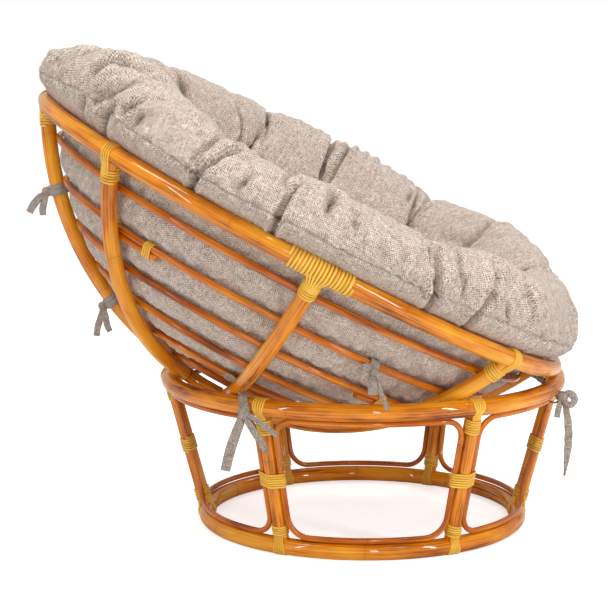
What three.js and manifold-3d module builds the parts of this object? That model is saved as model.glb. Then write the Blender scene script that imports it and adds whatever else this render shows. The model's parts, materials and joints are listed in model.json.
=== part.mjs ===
// Papasan chair: a round bowl of bent rattan poles, tilted in a ring stand, with a tufted cushion.
// Millimetres, +Z up. +X is the chair's front, where the bowl dips, and +Y its left side.
// The origin is on the floor, under the middle of the chair's overall box.
import * as THREE from 'three';
import { mergeVertices } from 'three/addons/utils/BufferGeometryUtils.js';
import Module from 'manifold-3d';

// Stand: two rings, slanted posts between them and one bent rod in each bay
const TOP_RING_RADIUS = 366;
const TOP_RING_HEIGHT = 275;
const BOTTOM_RING_RADIUS = 296.5;
const STAND_POLE_RADIUS = 15.4;
const FLOOR_FLAT_DEPTH = 1.2;
const POST_COUNT = 6;
const POST_RADIUS = 12.5;
const ROD_RADIUS = 5.2;
const ROD_CORNER_RADIUS = 36;
const MID_LASHING_HEIGHT = 145;

// Bowl: every pole lies on a sphere, the rim outermost and the hub ring at the bottom
const RIM_RADIUS = 530;
const BOWL_DEPTH = 339.57;
const RIM_POLE_RADIUS = 15.4;
const RIB_COUNT = 8;
const RIB_RADIUS = 14;
const RIB_FIRST_ANGLE = THREE.MathUtils.degToRad(3.5);
const HUB_RADIUS = 100;
const HUB_POLE_RADIUS = 13;
const HOOP_POLE_RADIUS = 6.5;
const HOOP_PLACE_SHARES = [0.9, 0.776, 0.649, 0.516, 0.386, 0.259];

// Cane windings: a flat strand, wound with a small space between its turns
const STRAND_WIDTH = 5.4;
const STRAND_THICKNESS = 1.6;
const STRAND_PITCH = 6.4;
const RIB_TURNS = 3;
const MID_TURNS = 4;
const SPLICE_TURNS = 16;
const RIBS_BEFORE_SPLICE_COUNT = 6;
const LASHING_DROP = 9;

// Cushion: a thick round pad, dished into the bowl, rolling up and out over the rim
const CUSHION_THICKNESS = 122;
const BELLY_LIFT = 36;
const BELLY_LIFT_ANGLE = THREE.MathUtils.degToRad(19);
const ROLL_RADIUS = 60;
const ROLL_IN_FROM_RIM = 32;
const LOBE_COUNT = 14;
const LOBE_FIRST_ANGLE = THREE.MathUtils.degToRad(10);
const CREASE_DEPTH = 15;
const TUFT_DEPTH = 24;

// Fabric ties: flat straps sewn to the cushion and knotted round the poles
const TIE_WIDTH = 17;
const TIE_THICKNESS = 2.4;
const KNOT_RADIUS = 10;
const RIB_TIE_FROM_HOOP = [67, 20.4];
const RIB_TIE_TAILS = [48, 56];
const HOOP_TIE_ANGLE = THREE.MathUtils.degToRad(-64);
const HOOP_TIE_TAIL = 52;
const REAR_TIE_ANGLE = THREE.MathUtils.degToRad(-124.3);
const REAR_TIE_TAILS = [112, 58];
const REAR_STRAP_HOOP_TURN = THREE.MathUtils.degToRad(-11);
const FRONT_TIE_ANGLE = THREE.MathUtils.degToRad(-20);
const FRONT_TIE_TAILS = [138, 42];
const FRONT_TIE_INSIDE = 22;

// Clearances: between touching pieces, and between rim and ring where the bowl's tilt stops
const GAP = 0.3;
const STOP_GAP = 0.6;
const SOFT_GAP = 1;
const CUSHION_GAP = 2.8;

// Worked out: the sphere's centre stands where the ribs rest on the top ring, and the bowl
// leans until its rim meets that ring
const BOTTOM_RING_HEIGHT = STAND_POLE_RADIUS - FLOOR_FLAT_DEPTH;
const BOWL_RADIUS = (RIM_RADIUS ** 2 + BOWL_DEPTH ** 2) / (2 * BOWL_DEPTH);
const REST_DISTANCE = BOWL_RADIUS + RIB_RADIUS + GAP + STAND_POLE_RADIUS;
const CENTRE_HEIGHT = TOP_RING_HEIGHT + Math.sqrt(REST_DISTANCE ** 2 - TOP_RING_RADIUS ** 2);
const RING_ANGLE = Math.asin(TOP_RING_RADIUS / REST_DISTANCE);
const RIM_ANGLE = Math.acos((BOWL_RADIUS - BOWL_DEPTH) / BOWL_RADIUS);
const HOOP_ANGLES = HOOP_PLACE_SHARES.map((share) => share * RIM_ANGLE);
const RIM_TO_RING = RIM_POLE_RADIUS + STAND_POLE_RADIUS + STOP_GAP;
const STOP_ANGLE = Math.acos((BOWL_RADIUS ** 2 + REST_DISTANCE ** 2 - RIM_TO_RING ** 2)
  / (2 * BOWL_RADIUS * REST_DISTANCE));
const TILT = RIM_ANGLE - RING_ANGLE - STOP_ANGLE;
const HOOP_SPHERE = BOWL_RADIUS - RIB_RADIUS - GAP - HOOP_POLE_RADIUS;
const HUB_ANGLE = Math.asin(HUB_RADIUS / BOWL_RADIUS);

const degrees = THREE.MathUtils.radToDeg;
const wasm = await Module();
wasm.setup();

const rattan = { color: 0xc8741f, roughness: 0.25, metalness: 0 };
const rattanDark = { color: 0xa85c18, roughness: 0.3, metalness: 0 };
const cane = { color: 0xe3b548, roughness: 0.4, metalness: 0 };
const fabric = { color: 0xa5968a, roughness: 0.95, metalness: 0 };

// A named mesh in its own material
function piece(name, geometry, finish) {
  const mesh = new THREE.Mesh(geometry, new THREE.MeshStandardMaterial(finish));
  mesh.name = name;
  return mesh;
}

// A curve whose steps fall on the given points
class PointPath extends THREE.CatmullRomCurve3 {
  getPointAt(share, target) { return this.getPoint(share, target); }
  getTangentAt(share, target) { return this.getTangent(share, target); }
}

// A pole or rod along points, as an open length or a closed loop
function pole(points, radius, sides) {
  const shape = new THREE.Shape().absarc(0, 0, radius, 0, 2 * Math.PI);
  return new THREE.ExtrudeGeometry(shape, {
    steps: points.length - 1, curveSegments: sides / 2, extrudePath: new PointPath(points),
  });
}
function loop(points, radius, sides) {
  return new THREE.TubeGeometry(new PointPath(points, true), points.length, radius, sides, true);
}

// Booleans, on merged vertices
function solid(geometry) {
  const bare = geometry.clone();
  bare.deleteAttribute('normal');
  bare.deleteAttribute('uv');
  const merged = mergeVertices(bare, 1e-4);
  return new wasm.Manifold(new wasm.Mesh({
    numProp: 3,
    vertProperties: new Float32Array(merged.attributes.position.array),
    triVerts: new Uint32Array(merged.index.array),
  }));
}
function geometryOf(manifold) {
  const mesh = manifold.getMesh();
  const geometry = new THREE.BufferGeometry();
  geometry.setAttribute('position', new THREE.BufferAttribute(mesh.vertProperties, 3));
  geometry.setIndex(new THREE.BufferAttribute(mesh.triVerts, 1));
  geometry.computeVertexNormals();
  return geometry;
}
const cut = (body, ...tools) => geometryOf(
  tools.reduce((left, tool) => left.subtract(solid(tool)), solid(body)));
const join = (...bodies) => geometryOf(
  bodies.slice(1).reduce((sum, body) => sum.add(solid(body)), solid(bodies[0])));

// A skin over rings of equally many points, closed by a point or a flat at each end
function skin(rings, closeWithFans = true) {
  const sides = rings[0].length;
  const positions = rings.flat().flatMap((p) => [p.x, p.y, p.z]);
  const faces = [];
  for (let i = 0; i + 1 < rings.length; i += 1) {
    for (let j = 0; j < sides; j += 1) {
      const a = i * sides + j;
      const b = i * sides + (j + 1) % sides;
      faces.push(a, b, a + sides, b, b + sides, a + sides);
    }
  }
  const last = (rings.length - 1) * sides;
  for (let j = 1; closeWithFans && j + 1 < sides; j += 1) {
    faces.push(0, j + 1, j, last, last + j, last + j + 1);
  }
  const geometry = new THREE.BufferGeometry();
  geometry.setAttribute('position', new THREE.Float32BufferAttribute(positions, 3));
  geometry.setIndex(faces);
  geometry.computeVertexNormals();
  return geometry;
}

// A flat band: each stop has a centre, an outward normal and the direction of its width
function band(stops, width, thickness) {
  const corners = [[-1, -1], [-1, 1], [1, 1], [1, -1]];
  const rings = stops.map(({ at, out, across }) => corners.map(([w, t]) => at.clone()
    .addScaledVector(across, w * width / 2)
    .addScaledVector(out, t * thickness / 2)));
  const along = stops[1].at.clone().sub(stops[0].at);
  const turn = new THREE.Vector3().crossVectors(stops[0].out, stops[0].across);
  return skin(turn.dot(along) > 0 ? rings : rings.map((ring) => ring.slice().reverse()));
}

// A strand wound round a stretch of pole: place(distance) gives the pole's centre and axes there,
// outline(angle) the wound section's radius and centre offset
function winding(place, outline, turns, stepsPerTurn) {
  const grow = 1 / Math.cos(Math.PI / stepsPerTurn);
  const clear = GAP + STRAND_THICKNESS / 2;
  const stops = [];
  for (let step = 0; step <= turns * stepsPerTurn; step += 1) {
    const angle = 2 * Math.PI * step / stepsPerTurn;
    const { centre, right, along: axis } = place(STRAND_PITCH * step / stepsPerTurn);
    const out = new THREE.Vector3().crossVectors(right, axis);
    const { radius, offset } = outline(angle);
    const normal = right.clone().multiplyScalar(Math.cos(angle))
      .addScaledVector(out, Math.sin(angle));
    stops.push({
      at: centre.clone().addScaledVector(right, offset)
        .addScaledVector(normal, (radius + clear) * grow),
      out: normal,
      across: axis,
    });
  }
  reportGap(stops, stepsPerTurn);
  return band(stops, STRAND_WIDTH, STRAND_THICKNESS);
}

// The least space between neighbouring turns, on the strand's own points
let leastStrandGap = Infinity;
function reportGap(stops, stepsPerTurn) {
  for (let i = 0; i + stepsPerTurn < stops.length; i += 1) {
    const apart = stops[i].at.distanceTo(stops[i + stepsPerTurn].at) - STRAND_WIDTH;
    leastStrandGap = Math.min(leastStrandGap, apart);
  }
}

const Y = new THREE.Vector3(0, 1, 0);
const Z = new THREE.Vector3(0, 0, 1);
const along = (angle) => new THREE.Vector3(Math.cos(angle), Math.sin(angle), 0);
const aside = (angle) => new THREE.Vector3(-Math.sin(angle), Math.cos(angle), 0);
const ringPoint = (radius, angle, height) => along(angle).multiplyScalar(radius).setZ(height);
const shareOf = (i, count) => i / (count - 1);

// The centre of a bent pole at a value between two of its stops, where it runs straight
function onSteps(point, stops, value) {
  const i = Math.min(Math.max(stops.findIndex((stop) => stop > value), 1), stops.length - 1);
  const share = (value - stops[i - 1]) / (stops[i] - stops[i - 1]);
  return point(stops[i - 1]).lerp(point(stops[i]), share);
}

// A pole bent into a full circle, level at a height
function hoop(name, radius, height, poleRadius, segments, sides, finish) {
  const mesh = piece(name, new THREE.TorusGeometry(radius, poleRadius, sides, segments), finish);
  mesh.position.z = height;
  return mesh;
}

// STAND
const RING_SEGMENTS = 48;
const SLANT = new THREE.Vector2(TOP_RING_RADIUS - BOTTOM_RING_RADIUS,
  TOP_RING_HEIGHT - BOTTOM_RING_HEIGHT);
const slantRadius = (height) => BOTTOM_RING_RADIUS
  + SLANT.x * (height - BOTTOM_RING_HEIGHT) / SLANT.y;
const fatRing = (radius, height, poleRadius, sides, segments = RING_SEGMENTS) =>
  new THREE.TorusGeometry(radius, poleRadius + GAP, sides, segments).translate(0, 0, height);

function makeBottomRing() {
  const ring = new THREE.TorusGeometry(BOTTOM_RING_RADIUS, STAND_POLE_RADIUS, 8, RING_SEGMENTS)
    .translate(0, 0, BOTTOM_RING_HEIGHT);
  const reach = BOTTOM_RING_RADIUS + 2 * STAND_POLE_RADIUS;
  const floor = new THREE.BoxGeometry(2 * reach, 2 * reach, STAND_POLE_RADIUS)
    .translate(0, 0, -STAND_POLE_RADIUS / 2);
  return piece('bottom_ring', cut(ring, floor), rattan);
}

// Each post runs from one ring's centre line to the other's and is coped to both poles
function makePosts() {
  const ends = [ringPoint(BOTTOM_RING_RADIUS, 0, BOTTOM_RING_HEIGHT),
    ringPoint(TOP_RING_RADIUS, 0, TOP_RING_HEIGHT)];
  const middle = ends[0].clone().lerp(ends[1], 1 / 2);
  const post = cut(pole([ends[0], middle, ends[1]], POST_RADIUS, 12),
    fatRing(BOTTOM_RING_RADIUS, BOTTOM_RING_HEIGHT, STAND_POLE_RADIUS, 8),
    fatRing(TOP_RING_RADIUS, TOP_RING_HEIGHT, STAND_POLE_RADIUS, 12));
  return turned('post', post, POST_COUNT, 0, rattan);
}

// Copies of one geometry about the upright axis
function turned(name, geometry, count, first, finish) {
  return Array.from({ length: count }, (_, i) => {
    const mesh = piece(`${name}_${i + 1}`, geometry, finish);
    mesh.rotation.z = first + 2 * Math.PI * i / count;
    return mesh;
  });
}

// The bent rod in a bay: under the top ring, down beside both posts, over the bottom ring
const ROD_FROM_RING = STAND_POLE_RADIUS + GAP + ROD_RADIUS;
function makePanelRods() {
  const high = TOP_RING_HEIGHT - ROD_FROM_RING;
  const low = BOTTOM_RING_HEIGHT + ROD_FROM_RING;
  const beside = POST_RADIUS + GAP + ROD_RADIUS;
  const halfBay = Math.PI / POST_COUNT;
  const points = [];
  const corner = (side, edge, rising) => {
    for (let i = 0; i < 4; i += 1) {
      const turn = Math.PI / 2 * (rising ? shareOf(i, 4) : 1 - shareOf(i, 4));
      const inset = beside + ROD_CORNER_RADIUS * (1 - Math.cos(turn));
      const fromEdge = ROD_CORNER_RADIUS * (1 - Math.sin(turn));
      const height = edge === high ? high - fromEdge : low + fromEdge;
      const radius = slantRadius(height);
      points.push(ringPoint(radius, side * (halfBay - inset / radius), height));
    }
  };
  const across = (height, from, steps) => {
    const radius = slantRadius(height);
    const reach = halfBay - (beside + ROD_CORNER_RADIUS) / radius;
    for (let i = 1; i < steps; i += 1) {
      points.push(ringPoint(radius, from * reach * (1 - 2 * i / steps), height));
    }
  };
  corner(1, high, true);
  across(high, 1, 8);
  corner(-1, high, false);
  corner(-1, low, true);
  across(low, -1, 4);
  corner(1, low, false);
  return turned('panel_rod', loop(points, ROD_RADIUS, 6), POST_COUNT, halfBay, rattanDark);
}

// A winding round each post and the two rods beside it, half way up
function makeMidLashings() {
  const slope = new THREE.Vector3(SLANT.x, 0, SLANT.y).normalize();
  const right = new THREE.Vector3(0, 1, 0);
  const start = ringPoint(slantRadius(MID_LASHING_HEIGHT), 0, MID_LASHING_HEIGHT)
    .addScaledVector(slope, -MID_TURNS * STRAND_PITCH / 2);
  const beside = POST_RADIUS + GAP + ROD_RADIUS;
  const outline = (angle) => {
    const toRod = beside * Math.abs(Math.cos(angle)) + ROD_RADIUS;
    return toRod > POST_RADIUS
      ? { radius: ROD_RADIUS, offset: beside * Math.sign(Math.cos(angle)) }
      : { radius: POST_RADIUS + GAP, offset: 0 };
  };
  const place = (distance) => ({
    centre: start.clone().addScaledVector(slope, distance), right, along: slope,
  });
  return turned('post_lashing', winding(place, outline, MID_TURNS, 12), POST_COUNT, 0, cane);
}

// BOWL, in its own frame: the sphere's centre is the origin and the bowl opens along +Z
const bowlPoint = (angle, turn, radius = BOWL_RADIUS) =>
  ringPoint(radius * Math.sin(angle), turn, -radius * Math.cos(angle));
const outward = (angle, turn) => bowlPoint(angle, turn, 1);
const upRib = (angle, turn) => along(turn).multiplyScalar(Math.cos(angle)).setZ(Math.sin(angle));
const RIM_HEIGHT = -BOWL_RADIUS * Math.cos(RIM_ANGLE);

function makeRims() {
  const rim = hoop('rim', RIM_RADIUS, RIM_HEIGHT, RIM_POLE_RADIUS, RING_SEGMENTS, 12, rattan);
  const hub = hoop('hub_ring', HUB_RADIUS, -BOWL_RADIUS * Math.cos(HUB_ANGLE), HUB_POLE_RADIUS,
    24, 8, rattan);
  const segments = [32, 32, 24, 24, 16, 16];
  const hoops = HOOP_ANGLES.map((angle, i) => hoop(`hoop_${i + 1}`, HOOP_SPHERE * Math.sin(angle),
    -HOOP_SPHERE * Math.cos(angle), HOOP_POLE_RADIUS, segments[i], 6, rattanDark));
  const rings = [rim, hub, ...hoops];
  rings.forEach((ring) => { ring.rotation.z = RIB_FIRST_ANGLE; });
  return rings;
}

// Each rib follows the sphere from the hub ring to the rim, coped to the rim. It has a stop at
// each hoop and one between, so that every hoop seats on it.
const RIB_START = HUB_ANGLE + (HUB_POLE_RADIUS + GAP) / BOWL_RADIUS;
const RIB_STOPS = [RIB_START, ...HOOP_ANGLES.slice().reverse(), RIM_ANGLE]
  .flatMap((angle, i, all) => (i === 0 ? [angle] : [(all[i - 1] + angle) / 2, angle]));
const ribPoint = (angle) => bowlPoint(angle, 0);

function makeRibs() {
  const bare = pole(RIB_STOPS.map(ribPoint), RIB_RADIUS, 8);
  const coped = (extra) => cut(bare,
    fatRing(RIM_RADIUS, RIM_HEIGHT, RIM_POLE_RADIUS + extra, 12));
  const ribs = turned('rib', coped(0), RIB_COUNT, RIB_FIRST_ANGLE, rattan);
  const grown = (RIM_POLE_RADIUS + GAP + STRAND_THICKNESS) / Math.cos(Math.PI / 8);
  ribs[RIBS_BEFORE_SPLICE_COUNT].geometry = coped((grown + GAP) / Math.cos(Math.PI / 12) - RIM_POLE_RADIUS);
  return ribs;
}

// Windings just under the rim, on every rib but the front one, which bears on the stand there.
// A strand's eight steps to a turn fall on the rib's eight edges, so it seats on the rib's flats.
function makeRibLashings() {
  const flats = RIB_RADIUS * Math.cos(Math.PI / 8);
  const round = () => ({ radius: flats, offset: 0 });
  const start = RIM_ANGLE - (RIM_POLE_RADIUS + LASHING_DROP + RIB_TURNS * STRAND_PITCH
    + STRAND_WIDTH / 2) / BOWL_RADIUS;
  const place = (distance) => {
    const angle = start + distance / BOWL_RADIUS;
    return { centre: onSteps(ribPoint, RIB_STOPS, angle), right: new THREE.Vector3(0, 1, 0),
      along: upRib(angle, 0) };
  };
  const geometry = winding(place, round, RIB_TURNS, 8);
  return turned('rib_lashing', geometry, RIB_COUNT, RIB_FIRST_ANGLE, cane).slice(1);
}

// The long winding over the rim's splice, centred on one rib's end
function makeSpliceWinding() {
  const round = () => ({ radius: RIM_POLE_RADIUS, offset: 0 });
  const middle = RIB_FIRST_ANGLE + 2 * Math.PI * RIBS_BEFORE_SPLICE_COUNT / RIB_COUNT;
  const start = middle - SPLICE_TURNS * STRAND_PITCH / 2 / RIM_RADIUS;
  const rimPoint = (turn) => ringPoint(RIM_RADIUS, turn, RIM_HEIGHT);
  const rimStops = Array.from({ length: RING_SEGMENTS + 1 },
    (_, i) => RIB_FIRST_ANGLE + 2 * Math.PI * i / RING_SEGMENTS);
  const place = (distance) => {
    const turn = start + distance / RIM_RADIUS;
    return { centre: onSteps(rimPoint, rimStops, turn), right: along(turn), along: aside(turn) };
  };
  return piece('rim_splice_winding', winding(place, round, SPLICE_TURNS, 8), cane);
}

// The cushion's half section from the middle of its seat, over the roll, to the middle underneath.
// crease is how far a point is drawn in at a lobe's edge, as a share of the crease's depth.
const BELLY_RADIUS = HOOP_SPHERE - HOOP_POLE_RADIUS - CUSHION_GAP;
const SEAT_SHARES = [
  { share: 0.15, crease: 0, tuft: false }, { share: 0.34, crease: 1, tuft: true },
  { share: 0.5, crease: 0.4, tuft: false }, { share: 0.67, crease: 0.5, tuft: false },
  { share: 0.81, crease: 0.9, tuft: false },
];
function cushionSection() {
  const seat = BELLY_RADIUS - CUSHION_THICKNESS;
  const inner = RIM_RADIUS - ROLL_IN_FROM_RIM;
  const rise = Math.sqrt((ROLL_RADIUS + RIM_POLE_RADIUS + SOFT_GAP) ** 2 - ROLL_IN_FROM_RIM ** 2);
  const section = [];
  for (const { share, crease, tuft } of SEAT_SHARES) {
    const turn = RIM_ANGLE * share;
    section.push({ radius: seat * Math.sin(turn), height: -seat * Math.cos(turn), crease, tuft });
  }
  for (const [angle, crease] of [[150, 1], [115, 1], [80, 1], [45, 1], [12, 1], [-25, 0.8],
    [-75, 0]]) {
    const turn = THREE.MathUtils.degToRad(angle);
    section.push({ radius: inner + ROLL_RADIUS * Math.cos(turn),
      height: RIM_HEIGHT + rise + ROLL_RADIUS * Math.sin(turn), crease, tuft: false });
  }
  const under = (turn, reach) => {
    const radius = reach - BELLY_LIFT * Math.exp(-((turn / BELLY_LIFT_ANGLE) ** 2));
    section.push({ radius: radius * Math.sin(turn), height: -radius * Math.cos(turn), crease: 0,
      tuft: false });
  };
  under((RIM_ANGLE + HOOP_ANGLES[0]) / 2, BELLY_RADIUS - HOOP_POLE_RADIUS);
  [1, 0.75, 0.5, 0.25].forEach((share) => under(HOOP_ANGLES[0] * share, BELLY_RADIUS));
  return section;
}

function makeCushion() {
  const stepsPerLobe = 4;
  const steps = LOBE_COUNT * stepsPerLobe;
  const seatMiddle = CUSHION_THICKNESS - BELLY_RADIUS - TUFT_DEPTH / 2;
  const hollow = [1, 0.3, 0, 0.3];
  const rings = cushionSection().map(({ radius, height, crease, tuft }) =>
    Array.from({ length: steps }, (_, j) => {
      const turn = LOBE_FIRST_ANGLE + 2 * Math.PI * j / steps;
      const drawn = (tuft ? TUFT_DEPTH : CREASE_DEPTH) * crease * hollow[j % stepsPerLobe];
      const middleRadius = RIM_RADIUS - ROLL_IN_FROM_RIM;
      const middleHeight = RIM_HEIGHT + ROLL_RADIUS;
      const inwards = new THREE.Vector2(middleRadius - radius, middleHeight - height);
      if (height < middleHeight - ROLL_RADIUS || radius < middleRadius - 2 * ROLL_RADIUS) {
        inwards.set(radius, height);
      }
      inwards.setLength(drawn);
      return ringPoint(radius + inwards.x, turn, height + inwards.y);
    }));
  const poles = [seatMiddle, BELLY_LIFT - BELLY_RADIUS].map((z) => new THREE.Vector3(0, 0, z));
  return piece('cushion', capped(rings, poles), fabric);
}

// Rings closed by one point at each end
function capped(rings, [first, last]) {
  const geometry = skin(rings, false);
  const sides = rings[0].length;
  const positions = Array.from(geometry.attributes.position.array);
  const faces = Array.from(geometry.index.array);
  const top = rings.length * sides;
  positions.push(...first.toArray(), ...last.toArray());
  for (let j = 0; j < sides; j += 1) {
    const next = (j + 1) % sides;
    faces.push(top, next, j, top + 1, top - sides + j, top - sides + next);
  }
  const closed = new THREE.BufferGeometry();
  closed.setAttribute('position', new THREE.Float32BufferAttribute(positions, 3));
  closed.setIndex(faces.reverse());
  closed.computeVertexNormals();
  return closed;
}

// FABRIC TIES
// A band part of the way round one or more poles: zero is the direction of angle 0, side that of
// the quarter turn, and each pole has its radius and its centre on those two.
function wrap(centre, zero, side, axis, poles, from, to) {
  const count = 11;
  const grow = 1 / Math.cos((to - from) / (count - 1) / 2);
  return band(Array.from({ length: count }, (_, i) => {
    const angle = from + (to - from) * shareOf(i, count);
    const [c, s] = [Math.cos(angle), Math.sin(angle)];
    const reach = ({ radius, x, y }) => radius + x * c + y * s;
    const outer = poles.reduce((best, next) => (reach(next) > reach(best) ? next : best));
    const out = zero.clone().multiplyScalar(c).addScaledVector(side, s);
    const radius = (outer.radius + SOFT_GAP + TIE_THICKNESS / 2) * grow;
    return {
      at: centre.clone().addScaledVector(zero, outer.x).addScaledVector(side, outer.y)
        .addScaledVector(out, radius),
      out,
      across: axis,
    };
  }), TIE_WIDTH, TIE_THICKNESS);
}
const alone = (radius) => [{ radius, x: 0, y: 0 }];

// A flat tail or strap through points, each with the direction that its face turns to
function strap(points, facings) {
  const path = new THREE.CatmullRomCurve3(points);
  const faces = new THREE.CatmullRomCurve3(facings);
  const count = 2 * points.length;
  return band(Array.from({ length: count }, (_, i) => {
    const tangent = path.getTangent(shareOf(i, count));
    const across = faces.getPoint(shareOf(i, count)).cross(tangent).normalize();
    return { at: path.getPoint(shareOf(i, count)), across,
      out: new THREE.Vector3().crossVectors(tangent, across) };
  }), TIE_WIDTH, TIE_THICKNESS);
}

function knot(at, axis) {
  const ball = new THREE.SphereGeometry(KNOT_RADIUS, 8, 6);
  const turn = new THREE.Quaternion().setFromUnitVectors(Z, axis);
  return ball.applyQuaternion(turn).translate(at.x, at.y, at.z);
}

// A tie round a pole of the bowl: a full turn less the knot, the knot and two hanging tails
function bowlTie(name, centre, out, axis, poleRadius, tail, down) {
  const side = new THREE.Vector3().crossVectors(axis, out);
  const opening = Math.PI / 5;
  const seat = poleRadius + GAP + KNOT_RADIUS;
  const middle = centre.clone().addScaledVector(out, seat);
  const parts = [wrap(centre, out, side, axis, alone(poleRadius), opening / 2,
    2 * Math.PI - opening / 2), knot(middle, axis)];
  for (const spread of [-1, 1]) {
    const bend = middle.clone().addScaledVector(side, spread * KNOT_RADIUS)
      .addScaledVector(out, KNOT_RADIUS).addScaledVector(down, tail / 3);
    const end = bend.clone().addScaledVector(down, 2 * tail / 3);
    parts.push(strap([middle, bend, end], [out, out, out]));
  }
  return piece(name, join(...parts), fabric);
}

function makeBowlTies() {
  const down = new THREE.Vector3(Math.sin(TILT), 0, -Math.cos(TILT));
  const backRib = RIB_FIRST_ANGLE + Math.PI;
  const clearOfRing = RING_ANGLE - TILT + 2 * RIB_TIE_TAILS[1] / BOWL_RADIUS;
  const lowest = HOOP_ANGLES.findLast((angle) => angle > clearOfRing);
  const ribTies = [HOOP_ANGLES[2], lowest].map((hoopAngle, i) => {
    const angle = hoopAngle + RIB_TIE_FROM_HOOP[i] / BOWL_RADIUS;
    return bowlTie(`rib_tie_${i + 1}`, bowlPoint(angle, backRib), outward(angle, backRib),
      upRib(angle, backRib), RIB_RADIUS, RIB_TIE_TAILS[i], down);
  });
  const second = HOOP_ANGLES[1];
  const hoopTie = bowlTie('hoop_tie', bowlPoint(second, HOOP_TIE_ANGLE, HOOP_SPHERE),
    outward(second, HOOP_TIE_ANGLE), aside(HOOP_TIE_ANGLE), HOOP_POLE_RADIUS, HOOP_TIE_TAIL, down);
  return [...ribTies, hoopTie];
}

// The two ties that hold the bowl to the top ring: each has a band under the ring, its knot and
// tails outside it, and a strap that leads up into the bowl
const bowl = new THREE.Group();
bowl.position.z = CENTRE_HEIGHT;
bowl.rotation.y = TILT;
bowl.updateMatrixWorld();
const inRoom = (point) => point.clone().applyMatrix4(bowl.matrixWorld);

function ringTie(name, turn, tails, knotAngle, poles) {
  const centre = ringPoint(TOP_RING_RADIUS, turn, TOP_RING_HEIGHT);
  const out = along(turn);
  const axis = aside(turn);
  const outer = out.clone().multiplyScalar(Math.cos(knotAngle)).addScaledVector(Z,
    Math.sin(knotAngle));
  const middle = centre.clone().addScaledVector(outer, STAND_POLE_RADIUS + GAP + KNOT_RADIUS);
  const parts = [wrap(centre, out, Z, axis, poles, -Math.PI, knotAngle + Math.PI / 6),
    knot(middle, axis)];
  tails.forEach((tail, i) => {
    const spread = i === 0 ? -1 : 1;
    const bend = middle.clone().addScaledVector(axis, spread * KNOT_RADIUS)
      .addScaledVector(out, KNOT_RADIUS).addScaledVector(Z, -tail / 3);
    const end = bend.clone().addScaledVector(axis, spread * KNOT_RADIUS)
      .addScaledVector(Z, -2 * tail / 3);
    parts.push(strap([middle, bend, end], [out, out, out]));
  });
  return piece(name, join(...parts), fabric);
}

// From the knot over the ring, then aside and round one rib to the next hoop below
function makeRearStrap() {
  const clear = STAND_POLE_RADIUS + SOFT_GAP + TIE_THICKNESS;
  const overRing = [Math.PI / 3.4, Math.PI / 2.2].map((angle) => along(REAR_TIE_ANGLE)
    .multiplyScalar(Math.cos(angle)).setZ(Math.sin(angle)));
  const ring = ringPoint(TOP_RING_RADIUS, REAR_TIE_ANGLE, TOP_RING_HEIGHT);
  const beside = RIB_FIRST_ANGLE + 2 * Math.PI * RIBS_BEFORE_SPLICE_COUNT / RIB_COUNT;
  const down = Z.clone().applyAxisAngle(Y, TILT).negate();
  const tieAngle = down.angleTo(ring.clone().setZ(TOP_RING_HEIGHT - CENTRE_HEIGHT));
  const hoopAngle = HOOP_ANGLES.find((angle) => angle < tieAngle);
  const ribAngle = tieAngle + (TIE_THICKNESS + SOFT_GAP) / BOWL_RADIUS;
  const onRib = BOWL_RADIUS + RIB_RADIUS + GAP + TIE_THICKNESS;
  const onHoop = HOOP_SPHERE + HOOP_POLE_RADIUS + SOFT_GAP + TIE_THICKNESS;
  const places = [[ribAngle, 0, onRib],
    [(ribAngle + hoopAngle) / 2, REAR_STRAP_HOOP_TURN / 2, (2 * onRib + onHoop) / 3],
    [hoopAngle, REAR_STRAP_HOOP_TURN, onHoop]];
  const points = [...overRing.map((out) => ring.clone().addScaledVector(out, clear)),
    ...places.map(([angle, turn, radius]) => inRoom(bowlPoint(angle, beside + turn, radius)))];
  const centre = new THREE.Vector3(0, 0, CENTRE_HEIGHT);
  const facings = points.map((point, i) => overRing[i] ?? point.clone().sub(centre).normalize());
  return piece('rear_ring_tie_strap', strap(points, facings), fabric);
}

// From the band inside the ring up beside the rim
function makeFrontStrap() {
  const clear = STAND_POLE_RADIUS + SOFT_GAP + TIE_THICKNESS;
  const low = ringPoint(TOP_RING_RADIUS - clear, FRONT_TIE_ANGLE, TOP_RING_HEIGHT + KNOT_RADIUS);
  const top = inRoom(ringPoint(RIM_RADIUS - RIM_POLE_RADIUS - FRONT_TIE_INSIDE,
    FRONT_TIE_ANGLE, RIM_HEIGHT - RIM_POLE_RADIUS));
  const facing = along(FRONT_TIE_ANGLE).negate();
  return piece('front_ring_tie_strap', strap([low, low.clone().lerp(top, 1 / 2), top],
    [facing, facing, facing]), fabric);
}

// ASSEMBLY
const stand = new THREE.Group();
stand.add(hoop('top_ring', TOP_RING_RADIUS, TOP_RING_HEIGHT, STAND_POLE_RADIUS, RING_SEGMENTS, 12,
  rattan), makeBottomRing(), ...makePosts(), ...makePanelRods(), ...makeMidLashings());

bowl.add(...makeRims(), ...makeRibs(), ...makeRibLashings(), makeSpliceWinding(), makeCushion(),
  ...makeBowlTies());

const ties = new THREE.Group();
const rodUnderRing = { radius: ROD_RADIUS, y: -ROD_FROM_RING,
  x: slantRadius(TOP_RING_HEIGHT - ROD_FROM_RING) - TOP_RING_RADIUS };
ties.add(ringTie('rear_ring_tie', REAR_TIE_ANGLE, REAR_TIE_TAILS, 0, alone(STAND_POLE_RADIUS)),
  ringTie('front_ring_tie', FRONT_TIE_ANGLE, FRONT_TIE_TAILS, -Math.PI / 4,
    [...alone(STAND_POLE_RADIUS), rodUnderRing]),
  makeRearStrap(), makeFrontStrap());

const chair = new THREE.Group();
chair.add(stand, bowl, ties);
const room = new THREE.Box3().setFromObject(chair, true);
chair.position.x = -(room.min.x + room.max.x) / 2;

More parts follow.
